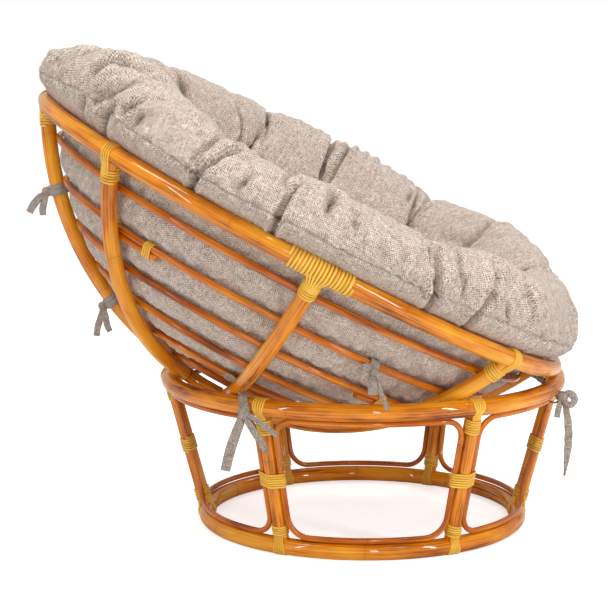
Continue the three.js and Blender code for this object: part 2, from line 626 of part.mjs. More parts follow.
console.log(`stand axis at x ${chair.position.x.toFixed(3)}, bowl centre height `
  + `${CENTRE_HEIGHT.toFixed(3)}, tilt ${degrees(TILT).toFixed(3)} degrees`);
console.log(`least space between turns of a strand ${leastStrandGap.toFixed(2)} mm`);
console.log(`box ${room.min.toArray().map(Math.round)} to ${room.max.toArray().map(Math.round)}`);

export default chair;
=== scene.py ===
"""A papasan chair's looks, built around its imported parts.

The stand and the bowl are bent, varnished rattan poles with cane windings. The cushion is a tufted
round pad of coarse woven cloth, tied in with flat sewn ties. Metres, +Z up, +X the chair's front.
"""
from __future__ import annotations

import json
import logging
import math
from dataclasses import dataclass
from enum import Enum
from typing import Any, Sequence

import bmesh
import bpy
import numpy as np
from mathutils import Matrix, Vector

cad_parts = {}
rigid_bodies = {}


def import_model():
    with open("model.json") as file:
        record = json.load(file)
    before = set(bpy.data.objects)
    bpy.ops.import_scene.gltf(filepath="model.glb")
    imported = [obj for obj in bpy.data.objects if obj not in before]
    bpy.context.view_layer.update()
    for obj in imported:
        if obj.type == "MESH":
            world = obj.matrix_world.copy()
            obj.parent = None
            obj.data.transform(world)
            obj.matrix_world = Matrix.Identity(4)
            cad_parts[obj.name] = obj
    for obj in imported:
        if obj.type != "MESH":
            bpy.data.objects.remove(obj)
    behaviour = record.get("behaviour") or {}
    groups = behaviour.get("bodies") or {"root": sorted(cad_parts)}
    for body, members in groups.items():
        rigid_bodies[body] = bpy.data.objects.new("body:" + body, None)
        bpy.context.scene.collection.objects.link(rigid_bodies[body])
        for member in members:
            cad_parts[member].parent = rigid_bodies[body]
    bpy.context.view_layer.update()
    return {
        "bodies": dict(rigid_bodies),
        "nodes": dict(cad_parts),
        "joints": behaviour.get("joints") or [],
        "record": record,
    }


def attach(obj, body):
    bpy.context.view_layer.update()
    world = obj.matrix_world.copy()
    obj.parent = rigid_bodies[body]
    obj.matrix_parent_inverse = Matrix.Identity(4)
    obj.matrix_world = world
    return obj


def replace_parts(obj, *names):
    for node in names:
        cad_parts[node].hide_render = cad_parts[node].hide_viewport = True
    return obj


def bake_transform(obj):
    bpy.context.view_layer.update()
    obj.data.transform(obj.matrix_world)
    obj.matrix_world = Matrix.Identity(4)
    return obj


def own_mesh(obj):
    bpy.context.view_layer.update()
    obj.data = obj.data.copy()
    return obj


LOG = logging.getLogger("papasan")
TAU = 2 * math.pi
Colour = tuple[float, float, float]
Triple = tuple[float, float, float]
Pair = tuple[float, float]
Array = np.ndarray
Form = tuple[Array, list[list[int]], Array]


class Value:
    """A number socket, so that node maths is written as an expression."""

    def __init__(self, tree: bpy.types.NodeTree, socket: bpy.types.NodeSocket) -> None:
        """Keeps the socket and the tree that new Math nodes go into."""
        self.tree = tree
        self.socket = socket

    def maths(self, operation: str, *others: Any, swapped: bool = False) -> "Value":
        """Adds one Math node.

        Args:
            operation: the node's operation.
            others: the other operands, each a number or a Value.
            swapped: whether this value comes last.

        Returns:
            The node's result.
        """
        node = self.tree.nodes.new("ShaderNodeMath")
        node.operation = operation
        operands = [*others, self] if swapped else [self, *others]
        for socket, operand in zip(node.inputs, operands):
            plug(self.tree, socket, operand)
        return Value(self.tree, node.outputs[0])

    def __add__(self, other: Any) -> "Value":
        """self + other."""
        return self.maths("ADD", other)

    def __sub__(self, other: Any) -> "Value":
        """self - other."""
        return self.maths("SUBTRACT", other)

    def __rsub__(self, other: Any) -> "Value":
        """other - self."""
        return self.maths("SUBTRACT", other, swapped=True)

    def __mul__(self, other: Any) -> "Value":
        """self * other."""
        return self.maths("MULTIPLY", other)

    def __truediv__(self, other: Any) -> "Value":
        """self / other."""
        return self.maths("DIVIDE", other)

    def __gt__(self, other: Any) -> "Value":
        """1 where self is above other."""
        return self.maths("GREATER_THAN", other)

    __radd__ = __add__
    __rmul__ = __mul__

    def call(self, operation: str) -> "Value":
        """A one-operand operation, such as FLOOR, FRACT or SINE."""
        return self.maths(operation)


def plug(tree: bpy.types.NodeTree, socket: bpy.types.NodeSocket, value: Any) -> None:
    """Links a socket or Value into a socket, or sets a plain value there.

    Args:
        tree: the tree that both belong to.
        socket: the input.
        value: a Value, a socket or a plain value.
    """
    if isinstance(value, Value):
        tree.links.new(value.socket, socket)
    elif isinstance(value, bpy.types.NodeSocket):
        tree.links.new(value, socket)
    elif socket.type == "RGBA" and len(value) == 3:
        socket.default_value = (*value, 1.0)
    else:
        socket.default_value = value


class Tree:
    """A node tree with one method that adds any node."""

    def __init__(self, tree: bpy.types.NodeTree) -> None:
        """Wraps a shader or geometry tree."""
        self.tree = tree

    def node(self, kind: str, sockets: dict[str, Any] | None = None, **settings: Any) -> bpy.types.Node:
        """Adds one node.

        Args:
            kind: the node's type.
            sockets: values or links by the inputs' identifiers or names.
            settings: the node's properties, set before its sockets. stops sets a ramp's colours.

        Returns:
            The node.
        """
        node = self.tree.nodes.new(kind)
        stops = settings.pop("stops", None)
        for name, value in settings.items():
            setattr(node, name, value)
        if stops:
            ramp = node.color_ramp
            while len(ramp.elements) < len(stops):
                ramp.elements.new(1.0)
            for element, (place, colour) in zip(ramp.elements, stops):
                element.position = place
                element.color = (*colour, 1.0)
        for name, value in (sockets or {}).items():
            found = [s for s in node.inputs if s.identifier == name] or [node.inputs[name]]
            plug(self.tree, found[0], value)
        return node

    def value(self, kind: str, sockets: dict[str, Any] | None = None, output: int | str = 0,
              **settings: Any) -> Value:
        """Adds a node and wraps one of its outputs as a Value."""
        return Value(self.tree, self.node(kind, sockets, **settings).outputs[output])

    def vector(self, operation: str, first: Any, second: Any) -> bpy.types.NodeSocket:
        """Adds a Vector Math node and returns its vector."""
        node = self.node("ShaderNodeVectorMath", operation=operation)
        plug(self.tree, node.inputs[0], first)
        plug(self.tree, node.inputs[1], second)
        return node.outputs[0]

    def combine(self, x: Any, y: Any, z: Any) -> bpy.types.NodeSocket:
        """A vector from three numbers or Values."""
        return self.node("ShaderNodeCombineXYZ", {"X": x, "Y": y, "Z": z}).outputs[0]

    def split(self, vector: bpy.types.NodeSocket) -> tuple[Value, Value, Value]:
        """A vector's three numbers."""
        node = self.node("ShaderNodeSeparateXYZ", {"Vector": vector})
        return tuple(Value(self.tree, socket) for socket in node.outputs)


class Shader(Tree):
    """A material's node tree around one Principled shader."""

    def __init__(self, name: str) -> None:
        """Makes the material."""
        self.material = bpy.data.materials.new(name)
        self.material.use_nodes = True
        super().__init__(self.material.node_tree)
        self.surface = self.tree.nodes["Principled BSDF"]

    def dress(self, **sockets: Any) -> None:
        """Sets or links inputs of the Principled shader, with _ for a space in a name."""
        for name, value in sockets.items():
            plug(self.tree, self.surface.inputs[name.replace("_", " ")], value)

    def noise(self, vector: Any, scale: float = 1.0, detail: float = 2.0,
              roughness: float = 0.5) -> Value:
        """A noise value from 0 to 1."""
        return self.value("ShaderNodeTexNoise", {"Vector": vector, "Scale": scale,
                                                 "Detail": detail, "Roughness": roughness})

    def streaks(self, vector: Any, across: float, along: float, **settings: float) -> Value:
        """Noise at one scale across a pole's grain and another along it."""
        return self.noise(self.vector("MULTIPLY", vector, (across, across, along)), **settings)

    def random(self, vector: Any) -> Value:
        """A random number for each whole cell."""
        return self.value("ShaderNodeTexWhiteNoise", {"Vector": vector}, noise_dimensions="3D")

    def mix(self, factor: Any, first: Any, second: Any) -> bpy.types.NodeSocket:
        """A blend of two colours."""
        return self.node("ShaderNodeMix", {"Factor_Float": factor, "A_Color": first,
                                           "B_Color": second}, data_type="RGBA").outputs[2]

    def ramp(self, factor: Value, stops: Sequence[tuple[float, Colour]]) -> bpy.types.NodeSocket:
        """A colour ramp."""
        return self.node("ShaderNodeValToRGB", {"Fac": factor}, stops=stops).outputs[0]

    def bump(self, height: Value, distance: float, strength: float = 1.0) -> bpy.types.NodeSocket:
        """A bumped normal."""
        return self.node("ShaderNodeBump", {"Height": height, "Distance": distance,
                                            "Strength": strength}).outputs[0]

    def attribute(self, name: str) -> bpy.types.NodeSocket:
        """A vector attribute of the mesh."""
        return self.node("ShaderNodeAttribute", attribute_name=name).outputs["Vector"]


def linear(red: int, green: int, blue: int) -> Colour:
    """An sRGB colour, 0 to 255, as linear numbers."""
    return tuple(((c / 255 + 0.055) / 1.055) ** 2.4 if c > 10 else c / 3294
                 for c in (red, green, blue))


@dataclass(frozen=True)
class VarnishedRattan:
    """Glossy bent rattan: streaks along the pole, blotches of stain and a ring at each joint."""

    name: str
    pale: Colour
    mid: Colour
    burnt: Colour
    joint_every: float = 0.31
    joint_line: float = 0.0014
    joint_halo: float = 0.02

    def make(self) -> bpy.types.Material:
        """Builds the material."""
        shader = Shader(self.name)
        grain = shader.attribute("grain")
        streak = shader.streaks(grain, 420.0, 7.0, detail=3.0)
        fibre = shader.streaks(grain, 1500.0, 22.0)
        blotch = shader.streaks(grain, 24.0, 5.5, detail=3.0, roughness=0.6)
        stain = blotch * 1.3 + streak * 0.8 + fibre * 0.2 - 0.66
        colour = shader.ramp(stain, [(0.18, self.burnt), (0.45, self.mid), (0.78, self.pale)])
        across, _, length = shader.split(grain)
        wander = shader.streaks(grain, 60.0, 3.0) * 0.05
        phase = (length / self.joint_every + across * 0.6 + wander).call("FRACT")
        from_joint = (phase - 0.5).call("ABSOLUTE") * self.joint_every
        line, halo = ((1 - from_joint / reach).maths("MAXIMUM", 0.0)
                      for reach in (self.joint_line, self.joint_halo))
        colour = shader.mix(line * 0.3 + halo * 0.1, colour, self.burnt)
        height = fibre * 0.35 + streak * 0.5 - line * 0.8
        shader.dress(Base_Color=colour, Roughness=streak * 0.16 + 0.24, Coat_Weight=0.9,
                     Coat_Roughness=0.04, Coat_IOR=1.58, Specular_IOR_Level=0.0,
                     Normal=shader.bump(height, 0.0005, 0.35))
        return shader.material


@dataclass(frozen=True)
class SplitCane:
    """The flat golden strand of the windings: satin, with fine fibres along it."""

    name: str
    pale: Colour
    mid: Colour
    deep: Colour

    def make(self) -> bpy.types.Material:
        """Builds the material."""
        shader = Shader(self.name)
        grain = shader.attribute("grain")
        fibre = shader.streaks(grain, 2600.0, 30.0)
        patch = shader.streaks(grain, 90.0, 16.0)
        tone = fibre * 0.5 + patch * 0.9 - 0.2
        colour = shader.ramp(tone, [(0.2, self.deep), (0.5, self.mid), (0.8, self.pale)])
        shader.dress(Base_Color=colour, Roughness=fibre * 0.2 + 0.3, Coat_Weight=0.3,
                     Coat_Roughness=0.2, Normal=shader.bump(fibre, 0.0004, 0.5))
        return shader.material


@dataclass(frozen=True)
class SlubWeave:
    """Coarse plain weave of mixed yarns, laid by a flat "cloth" attribute in metres; its third number
    is painted shade.
    """

    name: str
    yarns: tuple[tuple[float, Colour], ...]
    pitch: float = 0.0023
    slub: float = 0.0075

    def make(self) -> bpy.types.Material:
        """Builds the material."""
        shader = Shader(self.name)
        flat = shader.attribute("cloth")
        wander = shader.node("ShaderNodeTexNoise", {"Vector": flat, "Scale": 24.0, "Detail": 2.0})
        pulled = shader.vector("ADD", flat, shader.vector(
            "MULTIPLY", wander.outputs["Color"], (0.004, 0.004, 0.0)))
        # The third number, sunk, is the painted shade of the folds and the seam.
        u, v, sunk = shader.split(pulled)
        warp, weft = u / self.pitch, v / self.pitch
        warp_yarn, weft_yarn = warp.call("FLOOR"), weft.call("FLOOR")
        over = ((warp_yarn + weft_yarn) * 0.5).call("FRACT") > 0.25
        tones = []
        for yarn, along, place in ((warp_yarn, v, 3.0), (weft_yarn, u, 11.0)):
            start = shader.random(shader.combine(yarn, place, 0.0))
            run = (along / self.slub + start * 9.0).call("FLOOR")
            tones.append(shader.random(shader.combine(yarn, run, place)) * 0.34 + start * 0.14)
        speck = shader.random(shader.combine(warp_yarn, weft_yarn, 5.0))
        tone = over * (tones[0] + 0.3) + (1 - over) * tones[1] + speck * 0.2 + 0.02
        colour = shader.ramp(tone, self.yarns)
        cloud = shader.noise(flat, scale=9.0, detail=3.0)
        colour = shader.mix(cloud * 0.14, colour, self.yarns[2][1])
        # Painted shade: sunk darkens the colour toward deep brown in folds and along the seam.
        colour = shader.mix(sunk * 0.75, colour, linear(62, 50, 44))
        round_warp = (warp * math.pi).call("SINE").call("ABSOLUTE")
        round_weft = (weft * math.pi).call("SINE").call("ABSOLUTE")
        height = over * round_warp + (1 - over) * round_weft + speck * 0.2
        shader.dress(Base_Color=colour, Roughness=0.9, Sheen_Weight=0.12, Sheen_Roughness=0.5,
                     Specular_IOR_Level=0.25, Normal=shader.bump(height, 0.0006, 0.5))
        return shader.material


class Finish(Enum):
    """The finishes, each by the record's slot that it dresses."""

    POLE = "rattan_pole"
    ROD = "rattan_rod"
    CANE = "cane_strand"
    CUSHION = "cushion_cloth"
    TIE = "tie_cloth"


YARNS = ((0.05, linear(84, 70, 61)), (0.3, linear(151, 134, 120)), (0.55, linear(202, 185, 170)),
         (0.8, linear(227, 213, 200)), (0.94, linear(246, 238, 228)), (0.98, linear(228, 190, 134)))
TIE_YARNS = ((0.05, linear(74, 63, 56)), (0.3, linear(128, 115, 105)),
             (0.55, linear(170, 157, 145)), (0.8, linear(198, 187, 176)),
             (0.94, linear(210, 202, 192)), (0.98, linear(190, 158, 112)))
RECIPES = {
    Finish.POLE: VarnishedRattan("varnished_pole", linear(251, 178, 40), linear(228, 132, 6),
                                 linear(120, 44, 2)),
    Finish.ROD: VarnishedRattan("varnished_rod", linear(232, 148, 30), linear(198, 98, 6),
                                linear(96, 34, 2), 0.23),
    Finish.CANE: SplitCane("split_cane", linear(255, 217, 98), linear(247, 190, 56),
                           linear(190, 116, 22)),
    Finish.CUSHION: SlubWeave("cushion_weave", YARNS),
    Finish.TIE: SlubWeave("tie_weave", TIE_YARNS, 0.0021, 0.006),
}


class Sockets:
    """Names the inputs of a geometry tree and sets them by identifier."""

    def __init__(self, name: str, inputs: dict[str, str]) -> None:
        """Makes the tree with a geometry in, the named inputs and a geometry out."""
        self.group = bpy.data.node_groups.new(name, "GeometryNodeTree")
        face = self.group.interface
        face.new_socket("Geometry", in_out="INPUT", socket_type="NodeSocketGeometry")
        for label, kind in inputs.items():
            face.new_socket(label, in_out="INPUT", socket_type="NodeSocket" + kind)
        face.new_socket("Geometry", in_out="OUTPUT", socket_type="NodeSocketGeometry")
        self.tree = Tree(self.group)
        self.entry = self.tree.node("NodeGroupInput")

    def value(self, label: str) -> Value:
        """An input as a Value."""
        return Value(self.group, self.entry.outputs[label])

    def close(self, geometry: bpy.types.NodeSocket) -> None:
        """Ends the tree in Realize Instances, Set Material and smooth shading."""
        real = self.tree.node("GeometryNodeRealizeInstances", {"Geometry": geometry})
        smooth = self.tree.node("GeometryNodeSetShadeSmooth", {"Geometry": real.outputs[0]})
        dressed = self.tree.node("GeometryNodeSetMaterial", {
            "Geometry": smooth.outputs[0], "Material": self.entry.outputs["Material"]})
        self.tree.node("NodeGroupOutput", {"Geometry": dressed.outputs[0]})

    def store(self, geometry: bpy.types.NodeSocket, name: str, value: Any,
              kind: str = "FLOAT") -> bpy.types.NodeSocket:
        """Stores a named attribute on the points of a geometry."""
        return self.tree.node("GeometryNodeStoreNamedAttribute", {
            "Geometry": geometry, "Name": name, "Value": value},
            data_type=kind, domain="POINT").outputs[0]

    def named(self, name: str, kind: str = "FLOAT") -> bpy.types.NodeSocket:
        """Reads a named attribute."""
        return self.tree.node("GeometryNodeInputNamedAttribute", {"Name": name},
                              data_type=kind).outputs[0]


def pole_tree() -> bpy.types.NodeTree:
    """The tree that sweeps a round pole along each line of points, with the uneven girth of rattan."""
    form = Sockets("bent_pole", {"Radius": "Float", "Sides": "Int", "Unevenness": "Float",
                                 "Shift": "Float", "Material": "Material"})
    tree = form.tree
    line = tree.node("GeometryNodeMeshToCurve", {"Mesh": form.entry.outputs["Geometry"]})
    length = tree.value("GeometryNodeSplineParameter", output="Length")
    stored = form.store(line.outputs[0], "along", length + form.value("Shift"))
    swell = tree.value("ShaderNodeTexNoise", {"W": (length + form.value("Shift")) * 14.0,
                                              "Scale": 1.0}, noise_dimensions="1D")
    girth = (swell - 0.5) * form.value("Unevenness") + 1.0
    sized = tree.node("GeometryNodeSetCurveRadius", {"Curve": stored, "Radius": girth})
    circle = tree.node("GeometryNodeCurvePrimitiveCircle", {
        "Resolution": form.value("Sides"), "Radius": form.value("Radius")})
    place = tree.node("GeometryNodeInputPosition")
    section = form.store(circle.outputs[0], "side", place.outputs[0], "FLOAT_VECTOR")
    swept = tree.node("GeometryNodeCurveToMesh", {
        "Curve": sized.outputs[0], "Profile Curve": section, "Fill Caps": True,
        "Scale": tree.value("GeometryNodeInputRadius")})
    grain = tree.vector("ADD", form.named("side", "FLOAT_VECTOR"),
                        tree.combine(0.0, 0.0, Value(form.group, form.named("along"))))
    form.close(form.store(swept.outputs[0], "grain", grain, "FLOAT_VECTOR"))
    return form.group


def winding_tree() -> bpy.types.NodeTree:
    """The tree that winds a strand round a stretch of pole and, where asked, two rods beside it."""
    form = Sockets("strand_winding", {
        "Turns": "Int", "Steps per Turn": "Int", "Pitch": "Float", "Start": "Float",
        "Radius": "Float", "Rod Radius": "Float", "Rod Distance": "Float", "Width": "Float",
        "Thickness": "Float", "Right": "Vector", "Shift": "Float", "Material": "Material"})
    tree = form.tree
    line = tree.node("GeometryNodeMeshToCurve", {"Mesh": form.entry.outputs["Geometry"]})
    steps = form.value("Turns") * form.value("Steps per Turn")
    grid = tree.node("GeometryNodeMeshGrid", {"Size X": 1.0, "Size Y": 1.0,
                                              "Vertices X": steps + 1.0, "Vertices Y": 11})
    x, y, _ = tree.split(tree.node("GeometryNodeInputPosition").outputs[0])
    share, around = x + 0.5, (y + 0.5) * TAU
    turns = share * form.value("Turns")
    angle = turns * TAU
    distance = form.value("Start") + turns * form.value("Pitch")
    sample = tree.node("GeometryNodeSampleCurve", {"Curves": line.outputs[0], "Length": distance},
                       mode="LENGTH")
    axis = sample.outputs["Tangent"]
    out = tree.vector("NORMALIZE", tree.vector("CROSS_PRODUCT", form.entry.outputs["Right"], axis),
                      (0.0, 0.0, 0.0))
    right = tree.vector("CROSS_PRODUCT", axis, out)
    cosine, sine = angle.call("COSINE"), angle.call("SINE")
    to_rod = form.value("Rod Distance") * cosine.call("ABSOLUTE") + form.value("Rod Radius")
    on_rod = to_rod > form.value("Radius")
    radius = on_rod * form.value("Rod Radius") + (1 - on_rod) * form.value("Radius")
    offset = on_rod * form.value("Rod Distance") * cosine.call("SIGN")
    fade = (share * (1 - share) * 60.0 * form.value("Turns")).maths("MINIMUM", 1.0)
    half_thick, half_wide = form.value("Thickness") * 0.5, form.value("Width") * 0.5
    up, side = around.call("SINE"), around.call("COSINE")
    lift = radius + half_thick * 0.85 + up * half_thick * fade
    spread = side * half_wide * fade

    def scaled(vector: bpy.types.NodeSocket, amount: Value) -> bpy.types.NodeSocket:
        """A vector times a number."""
        return tree.node("ShaderNodeVectorMath", {"Vector": vector, "Scale": amount},
                         operation="SCALE").outputs[0]

    normal = tree.vector("ADD", scaled(right, cosine), scaled(out, sine))
    place = tree.vector("ADD", sample.outputs["Position"], scaled(right, offset))
    place = tree.vector("ADD", place, scaled(normal, lift))
    place = tree.vector("ADD", place, scaled(axis, spread))
    run = turns * TAU * form.value("Radius") + form.value("Shift")
    marked = form.store(grid.outputs[0], "grain",
                        tree.combine(side * half_wide, up * half_thick, run), "FLOAT_VECTOR")
    moved = tree.node("GeometryNodeSetPosition", {"Geometry": marked, "Position": place})
    merged = tree.node("GeometryNodeMergeByDistance", {"Geometry": moved.outputs[0],
                                                       "Distance": 0.00002})
    form.close(merged.outputs[0])
    return form.group


class Bench:
    """Turns lines of points into plain meshes by the geometry trees."""

    def __init__(self) -> None:
        """Builds the trees and the materials once."""
        self.pole_form = pole_tree()
        self.winding_form = winding_tree()
        self.materials = {finish: recipe.make() for finish, recipe in RECIPES.items()}
        self.count = 0

    def line(self, name: str, lines: Sequence[Sequence[Vector]], closed: bool) -> bpy.types.Object:
        """A mesh of bare edges through one or more lines of points."""
        mesh = bpy.data.meshes.new(name)
        points: list[Vector] = []
        edges: list[tuple[int, int]] = []
        for stops in lines:
            first = len(points)
            points.extend(stops)
            edges.extend((i, i + 1) for i in range(first, len(points) - 1))
            if closed:
                edges.append((len(points) - 1, first))
        mesh.from_pydata([tuple(p) for p in points], edges, [])
        return put(name, mesh)

    def grow(self, name: str, lines: Sequence[Sequence[Vector]], closed: bool,
             form: bpy.types.NodeTree, finish: Finish, **inputs: Any) -> bpy.types.Object:
        """Runs a geometry tree on lines of points.

        Args:
            name: the piece's name.
            lines: each line's points.
            closed: whether each line closes on itself.
            form: the geometry tree.
            finish: the finish.
            inputs: the tree's inputs, with _ for a space.

        Returns:
            The piece as a plain mesh object.
        """
        part = self.line(name, lines, closed)
        modifier = part.modifiers.new("form", "NODES")
        modifier.node_group = form
        self.count += 1
        values = {key.replace("_", " "): value for key, value in inputs.items()}
        values["Material"] = self.materials[finish]
        values["Shift"] = self.count * 1.37
        for socket in form.interface.items_tree:
            if socket.in_out == "INPUT" and socket.name in values:
                modifier[socket.identifier] = values[socket.name]
        graph = bpy.context.evaluated_depsgraph_get()
        made = bpy.data.meshes.new_from_object(part.evaluated_get(graph))
        part.modifiers.clear()
        part.data = made
        part.data.name = name
        face_out(made)
        return part

    def pole(self, name: str, points: Sequence[Vector], radius: float, closed: bool = False,
             finish: Finish = Finish.POLE, sides: int = 20,
             unevenness: float = 0.05) -> bpy.types.Object:
        """A pole or rod swept along points.

        Args:
            name: the piece's name.
            points: the centre line.
            radius: the pole's radius.
            closed: whether the line closes on itself.
            finish: the finish.
            sides: the flats of its section.
            unevenness: how much its girth varies.

        Returns:
            The pole.
        """
        return self.grow(name, [points], closed, self.pole_form, finish, Radius=radius,
                         Sides=sides, Unevenness=unevenness)

    def strands(self, name: str, lines: Sequence[Sequence[Vector]], radius: float,
                ) -> bpy.types.Object:
        """Cane strands laid side by side."""
        return self.grow(name, lines, False, self.pole_form, Finish.CANE, Radius=radius,
                         Sides=10, Unevenness=0.1)

    def winding(self, name: str, points: Sequence[Vector], right: Vector, turns: int, pitch: float,
                radius: float, start: float = 0.0, rod: tuple[float, float] = (0.0, 0.0),
                width: float = 0.0039, thickness: float = 0.0028) -> bpy.types.Object:
        """A strand wound round a stretch of pole.

        Args:
            name: the piece's name.
            points: the pole's centre line.
            right: a direction across the pole, towards a rod beside it.
            turns: how many turns.
            pitch: the distance from turn to turn.
            radius: the pole's radius.
            start: where the winding starts on the line.
            rod: the radius and distance of the two rods beside the pole.
            width: the strand's width.
            thickness: the strand's thickness.

        Returns:
            The winding.
        """
        return self.grow(name, [points], False, self.winding_form, Finish.CANE, Turns=turns,
                         Steps_per_Turn=28, Pitch=pitch, Start=start, Radius=radius,
                         Rod_Radius=rod[0], Rod_Distance=rod[1], Width=width,
                         Thickness=thickness, Right=tuple(right))

    def mesh(self, name: str, points: Array, faces: Sequence[Sequence[int]],
             finish: Finish) -> bpy.types.Object:
        """A piece from points and faces."""
        mesh = bpy.data.meshes.new(name)
        mesh.from_pydata(points.tolist(), [], faces)
        mesh.materials.append(self.materials[finish])
        mesh.polygons.foreach_set("use_smooth", [True] * len(mesh.polygons))
        part = put(name, mesh)
        return part


def put(name: str, data: bpy.types.ID) -> bpy.types.Object:
    """Adds an object to the scene."""
    part = bpy.data.objects.new(name, data)
    bpy.context.scene.collection.objects.link(part)
    return part


def lay_cloth(part: bpy.types.Object, flat: Array) -> None:
    """Stores flat cloth coordinates on a piece's points, for the weave; a third number, where given, is
    painted shade.
    """
    cloth = part.data.attributes.new("cloth", "FLOAT_VECTOR", "POINT")
    cloth.data.foreach_set("vector", flat.ravel())


def sleeve(rows: int, sides: int) -> list[list[int]]:
    """The faces between rows of points that each close on themselves."""
    corners = [(i * sides + j, i * sides + (j + 1) % sides)
               for i in range(rows - 1) for j in range(sides)]
    return [[a, b, b + sides, a + sides] for a, b in corners]


def face_out(mesh: bpy.types.Mesh) -> None:
    """Closes open ends and turns a closed mesh's faces outwards."""
    work = bmesh.new()
    work.from_mesh(mesh)
    open_edges = [edge for edge in work.edges if edge.is_boundary]
    if open_edges:
        bmesh.ops.holes_fill(work, edges=open_edges)
    bmesh.ops.recalc_face_normals(work, faces=work.faces)
    work.to_mesh(mesh)
    work.free()


def keep_above_floor(part: bpy.types.Object, height: float = 0.0) -> None:
    """Flattens a piece where it would sink into the floor."""
    for vertex in part.data.vertices:
        vertex.co.z = max(vertex.co.z, height)


def on_ring(radius: float, turn: float, height: float, middle: float = 0.0) -> Vector:
    """A point on a level ring about the upright line at x = middle."""
    return Vector((middle + radius * math.cos(turn), radius * math.sin(turn), height))


def arc(first: float, last: float, count: int) -> list[float]:
    """Evenly spaced numbers from first to last."""
    return [first + (last - first) * i / (count - 1) for i in range(count)]


def between(before: Array, first: Array, second: Array, after: Array, share: float) -> Array:
    """The smooth curve through four values, at a share of the way from the first to the second."""
    return 0.5 * (2 * first + (second - before) * share
                  + (2 * before - 5 * first + 4 * second - after) * share ** 2
                  + (3 * first - before - 3 * second + after) * share ** 3)


